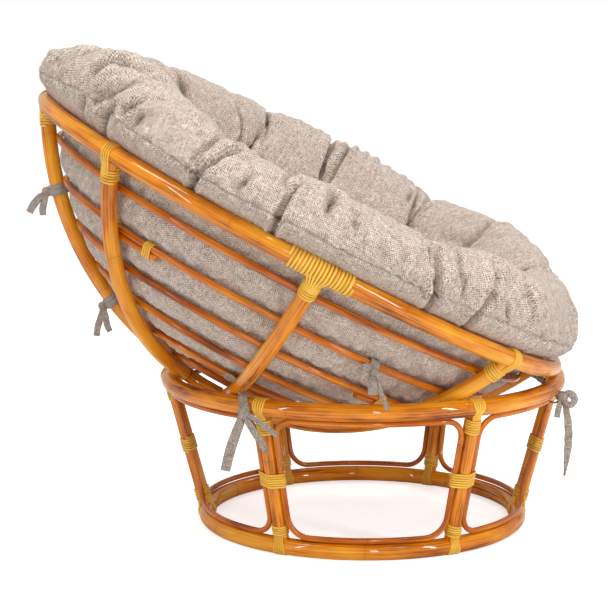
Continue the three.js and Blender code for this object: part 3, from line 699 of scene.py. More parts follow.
@dataclass
class Stand:
    """The stand: two rings, six slanted posts, a bent rod in each bay and their windings."""

    axis_x: float
    top_radius: float = 0.366
    top_height: float = 0.275
    bottom_radius: float = 0.2965
    bottom_height: float = 0.0142
    pole_radius: float = 0.0154
    post_count: int = 6
    post_radius: float = 0.0125
    rod_radius: float = 0.0052
    rod_corner: float = 0.036
    gap: float = 0.0003
    winding_height: float = 0.145
    middle_winding: tuple[int, float] = (6, 0.0046)
    end_windings: tuple[tuple[str, int, float, float], ...] = (
        ("top", 6, 0.0045, 0.2305), ("foot", 5, 0.0045, 0.0365))
    strand_count: int = 5
    strand_radius: float = 0.0018
    strand_pitch: float = 0.0047
    strand_lift: float = 0.0004
    strand_press: float = 0.0024
    strand_reach: Pair = (0.017, 0.022)
    pressed_posts: int = 4

    def ring(self, radius: float, turn: float, height: float) -> Vector:
        """A point about the stand's upright axis."""
        return on_ring(radius, turn, height, self.axis_x)

    def slant(self, height: float) -> float:
        """The posts' distance from the axis at a height."""
        share = (height - self.bottom_height) / (self.top_height - self.bottom_height)
        return self.bottom_radius + share * (self.top_radius - self.bottom_radius)

    def make_rings(self, bench: Bench) -> list[bpy.types.Object]:
        """The two rings, the lower one worn flat underneath."""
        rings = []
        for name, radius, height in (("top_ring", self.top_radius, self.top_height),
                                     ("bottom_ring", self.bottom_radius, self.bottom_height)):
            points = [self.ring(radius, turn, height) for turn in arc(0.9, 0.9 + TAU, 145)[:-1]]
            ring = bench.pole(name + "_pole", points, self.pole_radius, closed=True, sides=24,
                              unevenness=0.02)
            keep_above_floor(ring)
            rings.append(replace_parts(ring, name))
        return rings

    def make_posts(self, bench: Bench) -> list[bpy.types.Object]:
        """The posts, each from one ring's pole into the other's."""
        posts = []
        for i in range(self.post_count):
            turn = TAU * i / self.post_count
            low = self.ring(self.slant(self.bottom_height), turn, self.bottom_height)
            high = self.ring(self.slant(self.top_height), turn, self.top_height)
            points = [low.lerp(high, share) for share in arc(0.02, 0.97, 24)]
            post = bench.pole(f"post_{i + 1}_pole", points, self.post_radius)
            posts.append(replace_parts(post, f"post_{i + 1}"))
        return posts

    def rod_points(self, middle: float) -> list[Vector]:
        """The centre line of a bay's bent rod."""
        from_ring = self.pole_radius + self.gap + self.rod_radius
        high, low = self.top_height - from_ring, self.bottom_height + from_ring
        beside = self.post_radius + self.gap + self.rod_radius
        half = math.pi / self.post_count
        points = []

        def corner(side: int, edge: float, rising: bool) -> None:
            """Adds one rounded corner."""
            for turn in arc(0, math.pi / 2, 9) if rising else arc(math.pi / 2, 0, 9):
                inset = beside + self.rod_corner * (1 - math.cos(turn))
                drop = self.rod_corner * (1 - math.sin(turn))
                height = high - drop if edge == high else low + drop
                radius = self.slant(height)
                points.append(self.ring(radius, middle + side * (half - inset / radius), height))

        def across(height: float, side: int) -> None:
            """Adds the level run between two corners."""
            radius = self.slant(height)
            reach = half - (beside + self.rod_corner) / radius
            for share in arc(1, -1, 18)[1:-1]:
                points.append(self.ring(radius, middle + side * reach * share, height))

        def upright(side: int, rising: bool) -> None:
            """Adds the run beside a post."""
            heights = arc(low + self.rod_corner, high - self.rod_corner, 14)[1:-1]
            for height in heights if rising else heights[::-1]:
                radius = self.slant(height)
                points.append(self.ring(radius, middle + side * (half - beside / radius), height))

        corner(1, high, True)
        across(high, 1)
        corner(-1, high, False)
        upright(-1, False)
        corner(-1, low, True)
        across(low, -1)
        corner(1, low, False)
        upright(1, True)
        return points

    def make_rods(self, bench: Bench) -> list[bpy.types.Object]:
        """One bent rod in each bay."""
        rods = []
        for i in range(self.post_count):
            points = self.rod_points(TAU * (i + 0.5) / self.post_count)
            rod = bench.pole(f"bay_{i + 1}_rod", points, self.rod_radius, closed=True,
                             finish=Finish.ROD, sides=14, unevenness=0.06)
            rods.append(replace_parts(rod, f"panel_rod_{i + 1}"))
        return rods

    def make_windings(self, bench: Bench) -> list[bpy.types.Object]:
        """At each post: a winding half way up, one under the top ring and one over the lower ring."""
        parts = []
        beside = self.post_radius + self.gap + self.rod_radius
        for i in range(self.post_count):
            turn = TAU * i / self.post_count
            low = self.ring(self.slant(0.0), turn, 0.0)
            high = self.ring(self.slant(self.top_height), turn, self.top_height)
            lean = (high - low).length / self.top_height
            tangent = Vector((-math.sin(turn), math.cos(turn), 0))
            turns, pitch = self.middle_winding
            middle = bench.winding(f"post_{i + 1}_middle_winding", [low, high], tangent, turns,
                                   pitch, self.post_radius,
                                   (self.winding_height - turns * pitch / 2) * lean,
                                   (self.rod_radius, beside))
            parts.append(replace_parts(middle, f"post_lashing_{i + 1}"))
            for where, turns, pitch, start in self.end_windings:
                parts.append(bench.winding(f"post_{i + 1}_{where}_winding", [low, high], tangent,
                                           turns, pitch, self.post_radius, start * lean))
            parts.append(self.over_ring(bench, i, turn, top=True))
            foot = self.over_ring(bench, i, turn, top=False)
            keep_above_floor(foot)
            parts.append(foot)
        return parts

    def over_ring(self, bench: Bench, i: int, turn: float, top: bool) -> bpy.types.Object:
        """The strands that run from a post over a ring and back, side by side.

        Args:
            bench: the makers.
            i: the post's number, from 0.
            turn: the post's turn.
            top: whether the ring is the upper one.

        Returns:
            The strands. They lie pressed in where the bowl's rim and ribs bear on the ring.
        """
        height = self.top_height if top else self.bottom_height
        radius, upward = self.slant(height), (1 if top else -1)
        straight, last = 1.2, 1.9
        waist = 0.72
        pressed = (math.radians(-68), math.radians(8)) if top and i < self.pressed_posts else (0, 0)
        bundle = []
        for k in range(self.strand_count):
            offset = (k - self.strand_count // 2) * self.strand_pitch
            line = []
            for angle in arc(-last, last, 33):
                in_contact = pressed[0] < angle < pressed[1]
                depth = self.pole_radius + (-self.strand_press if in_contact else self.strand_lift)
                beyond = max(abs(angle) - straight, 0.0) / (last - straight)
                side = turn + offset * (1.0 - (1.0 - waist) * beyond) / radius
                line.append(self.ring(radius + depth * math.sin(angle), side,
                                      height + depth * math.cos(angle) * upward))
            inward = math.sqrt(self.post_radius ** 2 - (offset * 0.7) ** 2) - self.strand_lift
            for sign in (-1, 1):
                for step in (0.5, 1.0):
                    drop = self.pole_radius * 0.3 + self.strand_reach[0 if top else 1] * step
                    z = height - upward * drop
                    spot = self.ring(self.slant(z) + sign * inward, turn + offset * waist / radius,
                                     z)
                    line.insert(0 if sign < 0 else len(line), spot)
            bundle.append(line)
        where = "top" if top else "foot"
        return bench.strands(f"post_{i + 1}_{where}_strands", bundle, self.strand_radius)

    def build(self, bench: Bench) -> None:
        """Makes every piece and puts it on the stand."""
        for part in (self.make_rings(bench) + self.make_posts(bench) + self.make_rods(bench)
                     + self.make_windings(bench)):
            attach(part, "stand")
            LOG.info("stand: %s, %d faces", part.name, len(part.data.polygons))


@dataclass
class BowlShape:
    """The sphere that the bowl's poles lie on, tilted in the stand."""

    axis_x: float
    centre_height: float
    ring_radius: float = 0.366
    rim_radius: float = 0.53
    depth: float = 0.33957
    pole_radius: float = 0.0154
    rib_radius: float = 0.014
    rib_count: int = 8
    first_turn: float = math.radians(3.5)
    hub_radius: float = 0.1
    hub_pole: float = 0.013
    hoop_pole: float = 0.0065
    hoop_shares: tuple[float, ...] = (0.9, 0.776, 0.649, 0.516, 0.386, 0.259)
    gap: float = 0.0003
    stop_gap: float = 0.0006

    def __post_init__(self) -> None:
        """Works out the sphere, the rim's angle and the tilt at which the rim meets the ring."""
        self.radius = (self.rim_radius ** 2 + self.depth ** 2) / (2 * self.depth)
        self.rim_angle = math.acos((self.radius - self.depth) / self.radius)
        rest = self.radius + self.rib_radius + self.gap + self.pole_radius
        ring_angle = math.asin(self.ring_radius / rest)
        near = 2 * self.pole_radius + self.stop_gap
        stop = math.acos((self.radius ** 2 + rest ** 2 - near ** 2) / (2 * self.radius * rest))
        self.tilt = self.rim_angle - ring_angle - stop
        self.hoop_sphere = self.radius - self.rib_radius - self.gap - self.hoop_pole
        self.rim_height = -self.radius * math.cos(self.rim_angle)
        self.to_room = (Matrix.Translation((self.axis_x, 0, self.centre_height))
                        @ Matrix.Rotation(self.tilt, 4, "Y"))

    def room(self, point: Vector) -> Vector:
        """A point of the bowl's own frame, in the room."""
        return self.to_room @ point

    def direction(self, vector: Vector) -> Vector:
        """A direction of the bowl's own frame, in the room."""
        return self.to_room.to_3x3() @ vector

    def point(self, angle: float, turn: float, radius: float | None = None) -> Vector:
        """A point on a sphere about the bowl's centre, in the bowl's own frame."""
        size = self.radius if radius is None else radius
        return on_ring(size * math.sin(angle), turn, -size * math.cos(angle))

    def rib_turn(self, number: int) -> float:
        """The turn of a rib, counted from 1."""
        return self.first_turn + TAU * (number - 1) / self.rib_count


@dataclass(frozen=True)
class RimStrands:
    """The strands over the rim: their number, height over it, pitch, waist on the rib and radius."""

    count: int
    clear: float
    pitch: float
    waist: float
    radius: float


PLAIN_STRANDS = RimStrands(4, 0.0006, 0.0056, 0.82, 0.0018)
SPLICE_STRANDS = RimStrands(7, 0.0022, 0.0064, 0.6, 0.0021)


@dataclass
class Bowl:
    """The bowl: rim, hub ring, hoops, ribs and their windings."""

    shape: BowlShape
    spliced_rib: int = 7
    winding_reach: float = 0.1
    winding_drop: float = 0.008
    winding_pitch: float = 0.0049
    splice_turns: int = 18
    splice_pitch: float = 0.0062
    splice_strand: Pair = (0.0054, 0.0036)
    hoop_splices: tuple[tuple[int, float, float, tuple[float, ...]], ...] = (
        (1, -136.5, -119.0, (-133.5, -121.5)), (2, -58.0, -47.0, (-50.5,)))

    def closed_ring(self, bench: Bench, name: str, node: str, radius: float, height: float,
                    pole: float, finish: Finish, count: int, sides: int) -> bpy.types.Object:
        """A pole bent into a full circle in the bowl.

        Args:
            bench: the makers.
            name: the piece's name.
            node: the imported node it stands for.
            radius: the circle's radius.
            height: its height in the bowl's own frame.
            pole: the pole's radius.
            finish: its finish.
            count: the points round the circle.
            sides: the pole's sides.

        Returns:
            The ring.
        """
        points = [self.shape.room(on_ring(radius, turn, height))
                  for turn in arc(1.2, 1.2 + TAU, count + 1)[:-1]]
        ring = bench.pole(name, points, pole, closed=True, finish=finish, sides=sides,
                          unevenness=0.02)
        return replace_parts(ring, node)

    def make_rings(self, bench: Bench) -> list[bpy.types.Object]:
        """The rim, the hub ring and the hoops."""
        s = self.shape
        parts = [self.closed_ring(bench, "rim_pole", "rim", s.rim_radius, s.rim_height,
                                  s.pole_radius, Finish.POLE, 192, 24)]
        hub_angle = math.asin(s.hub_radius / s.radius)
        parts.append(self.closed_ring(bench, "hub_pole", "hub_ring", s.hub_radius,
                                      -s.radius * math.cos(hub_angle), s.hub_pole, Finish.POLE,
                                      72, 18))
        for i, share in enumerate(s.hoop_shares):
            angle = share * s.rim_angle
            parts.append(self.closed_ring(
                bench, f"hoop_{i + 1}_rod", f"hoop_{i + 1}", s.hoop_sphere * math.sin(angle),
                -s.hoop_sphere * math.cos(angle), s.hoop_pole, Finish.ROD, 160 - 16 * i, 14))
        return parts

    def make_ribs(self, bench: Bench) -> list[bpy.types.Object]:
        """The ribs, from the hub ring to the rim."""
        s = self.shape
        start = math.asin(s.hub_radius / s.radius) + (s.hub_pole + s.gap) / s.radius
        ribs = []
        for number in range(1, s.rib_count + 1):
            turn = s.rib_turn(number)
            points = [s.room(s.point(angle, turn))
                      for angle in arc(start, s.rim_angle - 0.008, 60)]
            rib = bench.pole(f"rib_{number}_pole", points, s.rib_radius, unevenness=0.04)
            ribs.append(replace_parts(rib, f"rib_{number}"))
        return ribs

    def make_windings(self, bench: Bench) -> list[bpy.types.Object]:
        """The windings on the ribs under the rim, and the strands that go over it."""
        s = self.shape
        parts = []
        for number in range(2, s.rib_count + 1):
            turn = s.rib_turn(number)
            centre = [s.room(s.point(angle, turn))
                      for angle in arc(s.rim_angle - self.winding_reach, s.rim_angle, 14)]
            right = s.direction(Vector((-math.sin(turn), math.cos(turn), 0)))
            spliced = number == self.spliced_rib
            turns = 6 if spliced else 5
            end = self.winding_reach * s.radius - (s.pole_radius + self.winding_drop)
            rib_winding = bench.winding(f"rib_{number}_winding", centre, right, turns,
                                        self.winding_pitch, s.rib_radius,
                                        end - turns * self.winding_pitch)
            parts.append(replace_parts(rib_winding, f"rib_lashing_{number}"))
            strands = SPLICE_STRANDS if spliced else PLAIN_STRANDS
            parts.append(self.over_rim(bench, number, turn, strands))
        return parts

    def over_rim(self, bench: Bench, number: int, turn: float,
                 strands: RimStrands) -> bpy.types.Object:
        """The strands from a rib's winding up over the rim and down its inner side.

        Args:
            bench: the makers.
            number: the rib's number.
            turn: the rib's turn.
            strands: how many strands there are and how they lie.

        Returns:
            The strands.
        """
        s = self.shape
        out = Vector((math.sin(s.rim_angle), 0, -math.cos(s.rim_angle)))
        up = Vector((math.cos(s.rim_angle), 0, math.sin(s.rim_angle)))
        spin = Matrix.Rotation(turn, 3, "Z")
        rim = Vector((s.rim_radius, 0, s.rim_height))
        down_rib, past_side, sunk = (0.023, 0.03, 0.037), 0.25, 0.0006
        lines = []
        for k in range(strands.count):
            offset = (k - (strands.count - 1) / 2) * strands.pitch
            on_rib = offset * strands.waist
            hold = math.sqrt(max(s.rib_radius ** 2 - on_rib ** 2, 0.0)) - sunk
            line = [(on_rib, out * hold - up * distance) for distance in down_rib[::-1]]
            for angle in arc(-past_side, math.pi + past_side, 23):
                line.append((offset, (out * math.cos(angle) + up * math.sin(angle))
                             * (s.pole_radius + strands.clear)))
            line += [(on_rib, -out * hold - up * distance) for distance in down_rib]
            lines.append([s.room(spin @ (rim + place + Vector((0, side, 0))))
                          for side, place in line])
        return bench.strands(f"rib_{number}_rim_strands", lines, strands.radius)

    def make_splice(self, bench: Bench) -> bpy.types.Object:
        """The long winding over the rim's splice."""
        s = self.shape
        turns, pitch = self.splice_turns, self.splice_pitch
        middle = s.rib_turn(self.spliced_rib)
        reach = turns * pitch / 2 / s.rim_radius
        points = [s.room(on_ring(s.rim_radius, turn, s.rim_height))
                  for turn in arc(middle - reach * 1.2, middle + reach * 1.2, 30)]
        right = s.direction(Vector((math.cos(middle), math.sin(middle), 0)))
        width, thickness = self.splice_strand
        winding = bench.winding("rim_splice_strand", points, right, turns, pitch, s.pole_radius,
                                reach * 0.2 * s.rim_radius, width=width, thickness=thickness)
        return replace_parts(winding, "rim_splice_winding")

    def make_hoop_splices(self, bench: Bench) -> list[bpy.types.Object]:
        """The second and third hoops' overlapped ends, each bound with short windings."""
        s = self.shape
        parts = []
        for hoop, first, last, bound in self.hoop_splices:
            angle = s.hoop_shares[hoop] * s.rim_angle + 0.0005
            apart = 2 * s.hoop_pole / s.radius * 0.92

            def spot(turn: float, below: float) -> Vector:
                """A point beside the hoop, below it by a share of a rod."""
                return s.room(s.point(angle - apart * below, turn, s.hoop_sphere + 0.0035 * below))

            turns = [math.radians(turn) for turn in arc(first, last, 20)]
            points = [spot(turn, 1.0) for turn in turns]
            parts.append(bench.pole(f"hoop_{hoop + 1}_splice_rod", points, s.hoop_pole * 0.95,
                                    finish=Finish.ROD, sides=14))
            for k, place in enumerate(bound):
                turn = math.radians(place)
                near = [spot(turn + math.radians(step), 0.5) for step in arc(-2.0, 2.0, 8)]
                across = (spot(turn, 1.0) - spot(turn, 0.0)).normalized()
                length = sum((b - a).length for a, b in zip(near, near[1:]))
                distance = (spot(turn, 1.0) - spot(turn, 0.0)).length / 2
                parts.append(bench.winding(f"hoop_{hoop + 1}_splice_winding_{k + 1}", near, across,
                                           4, 0.0044, 0.001, length / 2 - 0.0088,
                                           (s.hoop_pole, distance), width=0.0037))
        return parts

    def build(self, bench: Bench) -> None:
        """Makes every piece and puts it on the bowl."""
        for part in (self.make_rings(bench) + self.make_ribs(bench) + self.make_windings(bench)
                     + [self.make_splice(bench)] + self.make_hoop_splices(bench)):
            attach(part, "bowl")
            LOG.info("bowl: %s, %d faces", part.name, len(part.data.polygons))


@dataclass(frozen=True)
class Crease:
    """A pull in the flat cushion along a line, deeper at its start than at its end."""

    start: tuple[float, float]
    end: tuple[float, float]
    start_depth: float
    end_depth: float
    narrow: float = 0.013

    def pull(self, flat: Array, reach: float) -> tuple[Array, Array, Array]:
        """Where points lie about the crease.

        Args:
            flat: flat cloth points.
            reach: how far from the crease its pull ends.

        Returns:
            How deep the crease pulls each point, its distance from the crease, and how far along.
        """
        start, run = np.array(self.start), np.array(self.end) - np.array(self.start)
        share = np.clip(((flat - start) @ run) / (run @ run), 0.0, 1.0)
        away = np.linalg.norm(flat - start - share[:, None] * run, axis=1)
        near = 1 - np.clip(away / reach, 0, 1)
        depth = self.start_depth + (self.end_depth - self.start_depth) * share
        fall = 0.5 * (1 - np.sqrt(1 - near ** 2)) + 0.5 * np.exp(-away / self.narrow)
        return depth * fall, away, share * np.linalg.norm(run)


@dataclass(frozen=True)
class Fold:
    """A sharp fold in the cloth, with a lip along both of its sides and painted shade along its groove.

    Its path's points are each a share of the way to the seam and degrees round the bowl.
    """

    depth: float
    width: float
    path: tuple[Pair, ...]
    full_shade_depth: float = 0.014

    def sink(self, flat: Array, seam_run: float) -> tuple[Array, Array]:
        """How far the fold sinks each flat cloth point, and how much painted shade it gets in the fold.
        """
        path = np.array(self.path)
        turn = np.radians(path[:, 1])
        spots = seam_run * path[:, :1] * np.stack([np.cos(turn), np.sin(turn)], axis=1)
        legs = np.diff(spots, axis=0)
        runs = np.linalg.norm(legs, axis=1)
        passed = np.concatenate([[0], np.cumsum(runs)])
        nearest = np.full(len(flat), 1.0)
        along = np.zeros(len(flat))
        for start, leg, run, before in zip(spots, legs, runs, passed):
            share = np.clip((flat - start) @ leg / run ** 2, 0, 1)
            away = np.linalg.norm(flat - start - share[:, None] * leg, axis=1)
            closer = away < nearest
            nearest[closer] = away[closer]
            along[closer] = (before + share * run)[closer] / passed[-1]
        fade = np.sin(math.pi * np.clip(along, 0.05, 0.95)) ** 0.5
        groove = np.exp(-(nearest / self.width) ** 1.4)
        lip = 0.45 * np.exp(-((nearest - 2.2 * self.width) / (1.1 * self.width)) ** 2)
        # Painted shade: darkest along the groove's middle, and stronger for deeper folds.
        painted_shade = np.exp(-(nearest / (0.6 * self.width)) ** 2) * min(self.depth / self.full_shade_depth, 1.0)
        return self.depth * fade * (groove - lip), painted_shade * fade


ROLL_FOLDS = (
    Fold(0.02, 0.009, ((0.99, -167), (0.975, -166), (0.947, -163), (0.914, -164.2))),
    Fold(0.012, 0.008, ((1.0, -158), (0.96, -157), (0.93, -156), (0.89, -158))),
    Fold(0.014, 0.009, ((0.996, -151.8), (0.955, -150.1), (0.918, -148.1), (0.86, -150))),
    Fold(0.018, 0.008, ((0.957, -142.2), (0.946, -139.6), (0.914, -138.5), (0.9, -135.6),
                        (0.877, -133.7))),
    Fold(0.012, 0.007, ((0.989, -141.2), (0.965, -141.4), (0.952, -140))),
    Fold(0.016, 0.008, ((1.0, -137.5), (0.97, -133.7), (0.94, -132.6), (0.914, -131.7))),
    Fold(0.018, 0.006, ((0.98, -129.8), (0.955, -128.6), (0.932, -127.9))),
    Fold(0.018, 0.009, ((1.08, -136.3), (1.04, -134.7), (1.0, -133.2), (0.988, -131.9))),
    Fold(0.01, 0.008, ((0.989, -126.6), (0.956, -126))),
    Fold(0.012, 0.008, ((1.06, -143), (1.02, -141.5), (0.999, -140.9))),
    Fold(0.026, 0.007, ((1.09, -113.5), (1.0, -111.7), (0.976, -111.2), (0.953, -110.3),
                        (0.932, -109.9), (0.872, -108))),
    Fold(0.012, 0.007, ((0.984, -105.1), (0.961, -104.4), (0.937, -104.1))),
    Fold(0.024, 0.006, ((1.1, -96.9), (1.0, -96.8), (0.978, -96.9), (0.943, -96.8),
                        (0.911, -96.3), (0.888, -95.7))),
    Fold(0.018, 0.008, ((0.93, -90), (0.9, -89.9), (0.87, -90))),
    Fold(0.009, 0.006, ((0.91, -85.6), (0.953, -84.4))),
    Fold(0.005, 0.009, ((0.948, -82.7), (0.986, -82.3))),
    Fold(0.005, 0.009, ((0.943, -79.4), (0.988, -78.9))),
    Fold(0.004, 0.008, ((0.93, -76), (0.98, -75.5))),
    Fold(0.012, 0.005, ((0.9, -71.8), (0.939, -70.3))),
    Fold(0.022, 0.007, ((0.91, -69.8), (0.922, -69.6), (0.969, -68.7), (1.01, -67.7),
                        (1.04, -66.9), (1.07, -66.5))),
    Fold(0.012, 0.006, ((0.903, -66), (0.929, -65), (0.956, -63.7), (0.98, -63))),
    Fold(0.021, 0.007, ((0.897, -56.9), (0.934, -57), (0.958, -57.3), (0.98, -58))),
    Fold(0.018, 0.007, ((0.97, -58), (1.01, -58.6), (1.08, -57))),
    Fold(0.01, 0.006, ((0.96, -52), (1.0, -51.2))),
    Fold(0.021, 0.007, ((0.9, -48.5), (0.913, -48), (0.946, -46.4), (1.0, -44.4))),
    Fold(0.02, 0.009, ((1.07, -39.5), (1.0, -38.3))),
    Fold(0.012, 0.008, ((1.04, -33), (0.97, -31))),
    Fold(0.014, 0.007, ((1.02, -24), (0.95, -25), (0.9, -22))),
    Fold(0.014, 0.007, ((1.05, -8), (0.97, -6), (0.9, -9))),
)
WALL_FOLDS = (
    Fold(0.011, 0.006, ((0.801, 12.6), (0.84, 10), (0.87, 6))),
    Fold(0.011, 0.006, ((0.79, 36), (0.85, 36.6))),
    Fold(0.007, 0.008, ((0.72, 48), (0.74, 40), (0.77, 36))),
    Fold(0.022, 0.01, ((0.88, 143.2), (0.811, 143.4), (0.776, 141.5), (0.7, 141))),
    Fold(0.016, 0.007, ((0.854, 138.7), (0.802, 137.9), (0.758, 137), (0.69, 136))),
    Fold(0.015, 0.006, ((0.787, 120.7), (0.756, 118.9), (0.715, 117.6), (0.67, 117.4))),
    Fold(0.016, 0.007, ((0.85, 110.1), (0.775, 109.1), (0.74, 109.4))),
    Fold(0.015, 0.006, ((0.757, 110.9), (0.713, 112.2), (0.66, 113.4))),
    Fold(0.016, 0.006, ((0.87, 91.5), (0.826, 91.2), (0.761, 90.6), (0.71, 90))),
    Fold(0.016, 0.006, ((0.87, 86.8), (0.846, 87), (0.772, 87.4), (0.718, 87.7), (0.66, 88.3))),
    Fold(0.011, 0.006, ((0.81, 67.1), (0.77, 65.6))),
    Fold(0.017, 0.006, ((0.83, 66), (0.753, 62.6), (0.69, 60.2))),
    Fold(0.015, 0.007, ((0.82, 58), (0.778, 58.5), (0.732, 58.7), (0.68, 59.3))),
)


@dataclass(frozen=True)
class Wrinkles:
    """The heights and reaches of the cloth's small wrinkles, in metres."""

    crease_wave: float = 0.0022
    crease_reach: float = 0.022
    star: float = 0.006
    star_reach: float = 0.036
    gather: float = 0.0024
    past_seam: float = 0.05
    pucker: float = 0.0013
    pucker_reach: float = 0.013
    seam_groove: float = 0.0024
    seam_width: float = 0.0018
    belly_ripple: float = 0.0015


CLOTH_SETTINGS = {
    "quality": 4, "mass": 0.3, "tension_stiffness": 18, "compression_stiffness": 12,
    "shear_stiffness": 6, "bending_stiffness": 0.5, "shrink_min": -0.05, "use_pressure": True,
    "uniform_pressure_force": 4.0, "vertex_group_mass": "held"}


@dataclass
class Cushion:
    """The tufted cushion: a thick disc dished into the bowl, rolling up and out over the rim."""

    shape: BowlShape
    wrinkles: Wrinkles = Wrinkles()
    thickness: float = 0.122
    roll_radius: float = 0.06
    roll_in: float = 0.032
    lobes: int = 14
    first_lobe: float = 10.0
    steps: int = 320
    finer: int = 3
    cushion_gap: float = 0.0028
    seam_turn: float = -12.0
    outer_tufts: float = 0.68
    inner_tufts: float = 0.32
    tuft_stray: float = 0.02
    tuft_dimple: float = 0.02
    dimple_reach: float = 0.018
    crest: float = 0.87
    crease_end: float = 1.08
    pull_at_tuft: float = 0.03
    pull_at_crest: float = 0.017
    pull_at_middle: float = 0.026
    pillow_reach: float = 0.085
    pillow_crown: float = 0.009
    pull_past_seam: float = 0.03
    hoop_bulge: float = 0.0085
    bulge_reach: Pair = (0.006, 0.014)
    bulge_unevenness: float = 0.2
    firm_depth: Pair = (0.024, 0.012)
    firm_at_hoop: float = 0.009
    firm_at_seam: Pair = (0.5, 0.004)
    settling_frames: int = 20
    most_swell: float = 0.014
    front_pull: float = 0.043
    belly_edge: float = 0.007
    belly_lift: float = 0.038
    lift_forward: float = 6.0
    lift_reach: Pair = (12.5, 19.0)
    lobe_shifts: tuple[float, ...] = (0.0, 0.12, -0.03, 0.05, 0.0, 0.03, 0.1, -0.1, 0.0, 0.25,
                                      -0.16, -0.05, -0.1, 0.1)
    lobe_pulls: tuple[float, ...] = (0.6, 0.7, 0.9, 0.8, 0.7, 0.9, 0.8, 0.8, 0.5, 1.2, 1.2, 1.1, 0.9,
                                     0.8)
    heights: tuple[Pair, ...] = (
        (-180, 0.75), (-170, 0.78), (-160, 0.88), (-151, 1.0), (-140, 1.14), (-133, 1.06), (-127, 0.95),
        (-115, 0.84), (-106, 0.77), (-96, 0.86), (-70, 0.87), (-55, 1.0), (-40, 0.98),
        (-15, 0.96), (10, 1.02), (22, 1.2), (36, 1.31), (50, 1.2), (64, 1.12), (80, 1.22),
        (98, 1.19), (114, 1.14), (138, 1.06), (154, 0.9), (166, 0.79), (180, 0.75))

    def __post_init__(self) -> None:
        """Works out the belly's and the roll's places."""
        s = self.shape
        self.belly = s.hoop_sphere - s.hoop_pole - self.cushion_gap
        self.inner = s.rim_radius - self.roll_in
        rise = math.sqrt((self.roll_radius + s.pole_radius + 0.001) ** 2 - self.roll_in ** 2)
        self.roll_height = s.rim_height + rise

    def section(self) -> tuple[list[Pair], int]:
        """The half section, radius and height from the seat's middle to the belly's.

        Returns:
            The points and the number of the point at the seam.
        """
        def bowl_spot(radius: float, share: float) -> Pair:
            """A point on a sphere about the bowl's centre, a share of the way up to the rim."""
            turn = self.shape.rim_angle * share
            return radius * math.sin(turn), -radius * math.cos(turn)

        def roll_spot(angle: float) -> Pair:
            """A point on the roll."""
            turn = math.radians(angle)
            return (self.inner + self.roll_radius * math.cos(turn),
                    self.roll_height + self.roll_radius * math.sin(turn))

        seat = [bowl_spot(self.belly - self.thickness, share)
                for share in (0.0, 0.07, 0.15, 0.25, 0.34, 0.42, 0.5, 0.59, 0.67, 0.75, 0.81)]
        roll = [roll_spot(angle) for angle in (150, 128, 105, 82, 60, 38, 20, 4, self.seam_turn)]
        under = [roll_spot(angle) for angle in (-28, -46, -62, -76)]
        belly = [bowl_spot(self.belly - self.belly_edge, 0.955)]
        belly += [bowl_spot(self.belly, share)
                  for share in (0.9, 0.8, 0.7, 0.6, 0.5, 0.4, 0.3, 0.2, 0.1, 0.0)]
        return seat + roll + under + belly, len(seat + roll) - 1

    def profile(self) -> tuple[Array, Array, int]:
        """The section sampled evenly, and more finely at the seam.

        Returns:
            The points, their distance along the section, and the row at the seam.
        """
        stops, seam = self.section()
        points = np.array(stops)
        dense, marks = [], []
        for i in range(len(points) - 1):
            before = points[max(i - 1, 0)] if i else points[1] * np.array([-1, 1])
            after = points[i + 2] if i + 2 < len(points) else points[i] * np.array([-1, 1])
            marks.append(len(dense))
            for t in np.linspace(0, 1, 12, endpoint=False):
                dense.append(between(before, points[i], points[i + 1], after, t))
        dense.append(points[-1])
        curve = np.array(dense)
        runs = np.concatenate([[0], np.cumsum(np.linalg.norm(np.diff(curve, axis=0), axis=1))])
        seam_run = runs[marks[seam]]
        fine, plain = np.array([0.0012, 0.0026, 0.0046]), 0.009
        top = np.concatenate([np.linspace(0, seam_run - plain, 112), seam_run - fine[::-1],
                              [seam_run]])
        under = np.concatenate([seam_run + fine, np.linspace(seam_run + plain, runs[-1], 92)])
        length = np.concatenate([top, under])
        rows = np.stack([np.interp(length, runs, curve[:, 0]),
                         np.interp(length, runs, curve[:, 1])], axis=1)
        return rows, length, len(top) - 1

    def tufts(self, seam_run: float) -> tuple[list[Pair], list[Pair]]:
        """The two rings of tufts, in flat cloth coordinates, each a little out of place."""
        noise = np.random.default_rng(4)
        rings = []
        for share, step in ((self.outer_tufts, 1), (self.inner_tufts, 2)):
            ring = []
            for k in range(0, self.lobes, step):
                turn = math.radians(self.first_lobe) + TAU * (k + self.lobe_shifts[k]) / self.lobes
                run = seam_run * (share + noise.uniform(-self.tuft_stray, self.tuft_stray))
                ring.append((run * math.cos(turn), run * math.sin(turn)))
            rings.append(ring)
        return rings[0], rings[1]

    def creases(self, seam_run: float) -> list[Crease]:
        """The pulls between the tufts and out over the roll."""
        outer, inner = self.tufts(seam_run)
        noise = np.random.default_rng(9)
        lines = []
        for k in range(self.lobes):
            spot, following = outer[k], outer[(k + 1) % self.lobes]
            turn = math.atan2(spot[1], spot[0]) + noise.uniform(-0.07, 0.07)
            strength = self.lobe_pulls[k]
            run = seam_run * self.crest
            crest = (run * math.cos(turn), run * math.sin(turn))
            turn += noise.uniform(-0.05, 0.05)
            run = seam_run * self.crease_end
            edge = (run * math.cos(turn), run * math.sin(turn))
            at_crest = self.pull_at_crest * strength
            lines.append(Crease(spot, crest, self.pull_at_tuft + 0.012 + 0.01 * strength, at_crest))
            lines.append(Crease(crest, edge, at_crest, 0.003))
            lines.append(Crease(spot, following, self.pull_at_tuft, self.pull_at_tuft))
            if k % 2 == 0:
                middle = inner[k // 2]
                beyond = inner[(k // 2 + 1) % len(inner)]
                lines.append(Crease(middle, spot, self.pull_at_tuft, self.pull_at_tuft + 0.004))
                lines.append(Crease(middle, beyond, self.pull_at_middle, self.pull_at_middle))
                lines.append(Crease(middle, (middle[0] * 0.1, middle[1] * 0.1),
                                    self.pull_at_middle, 0.012))
        return lines

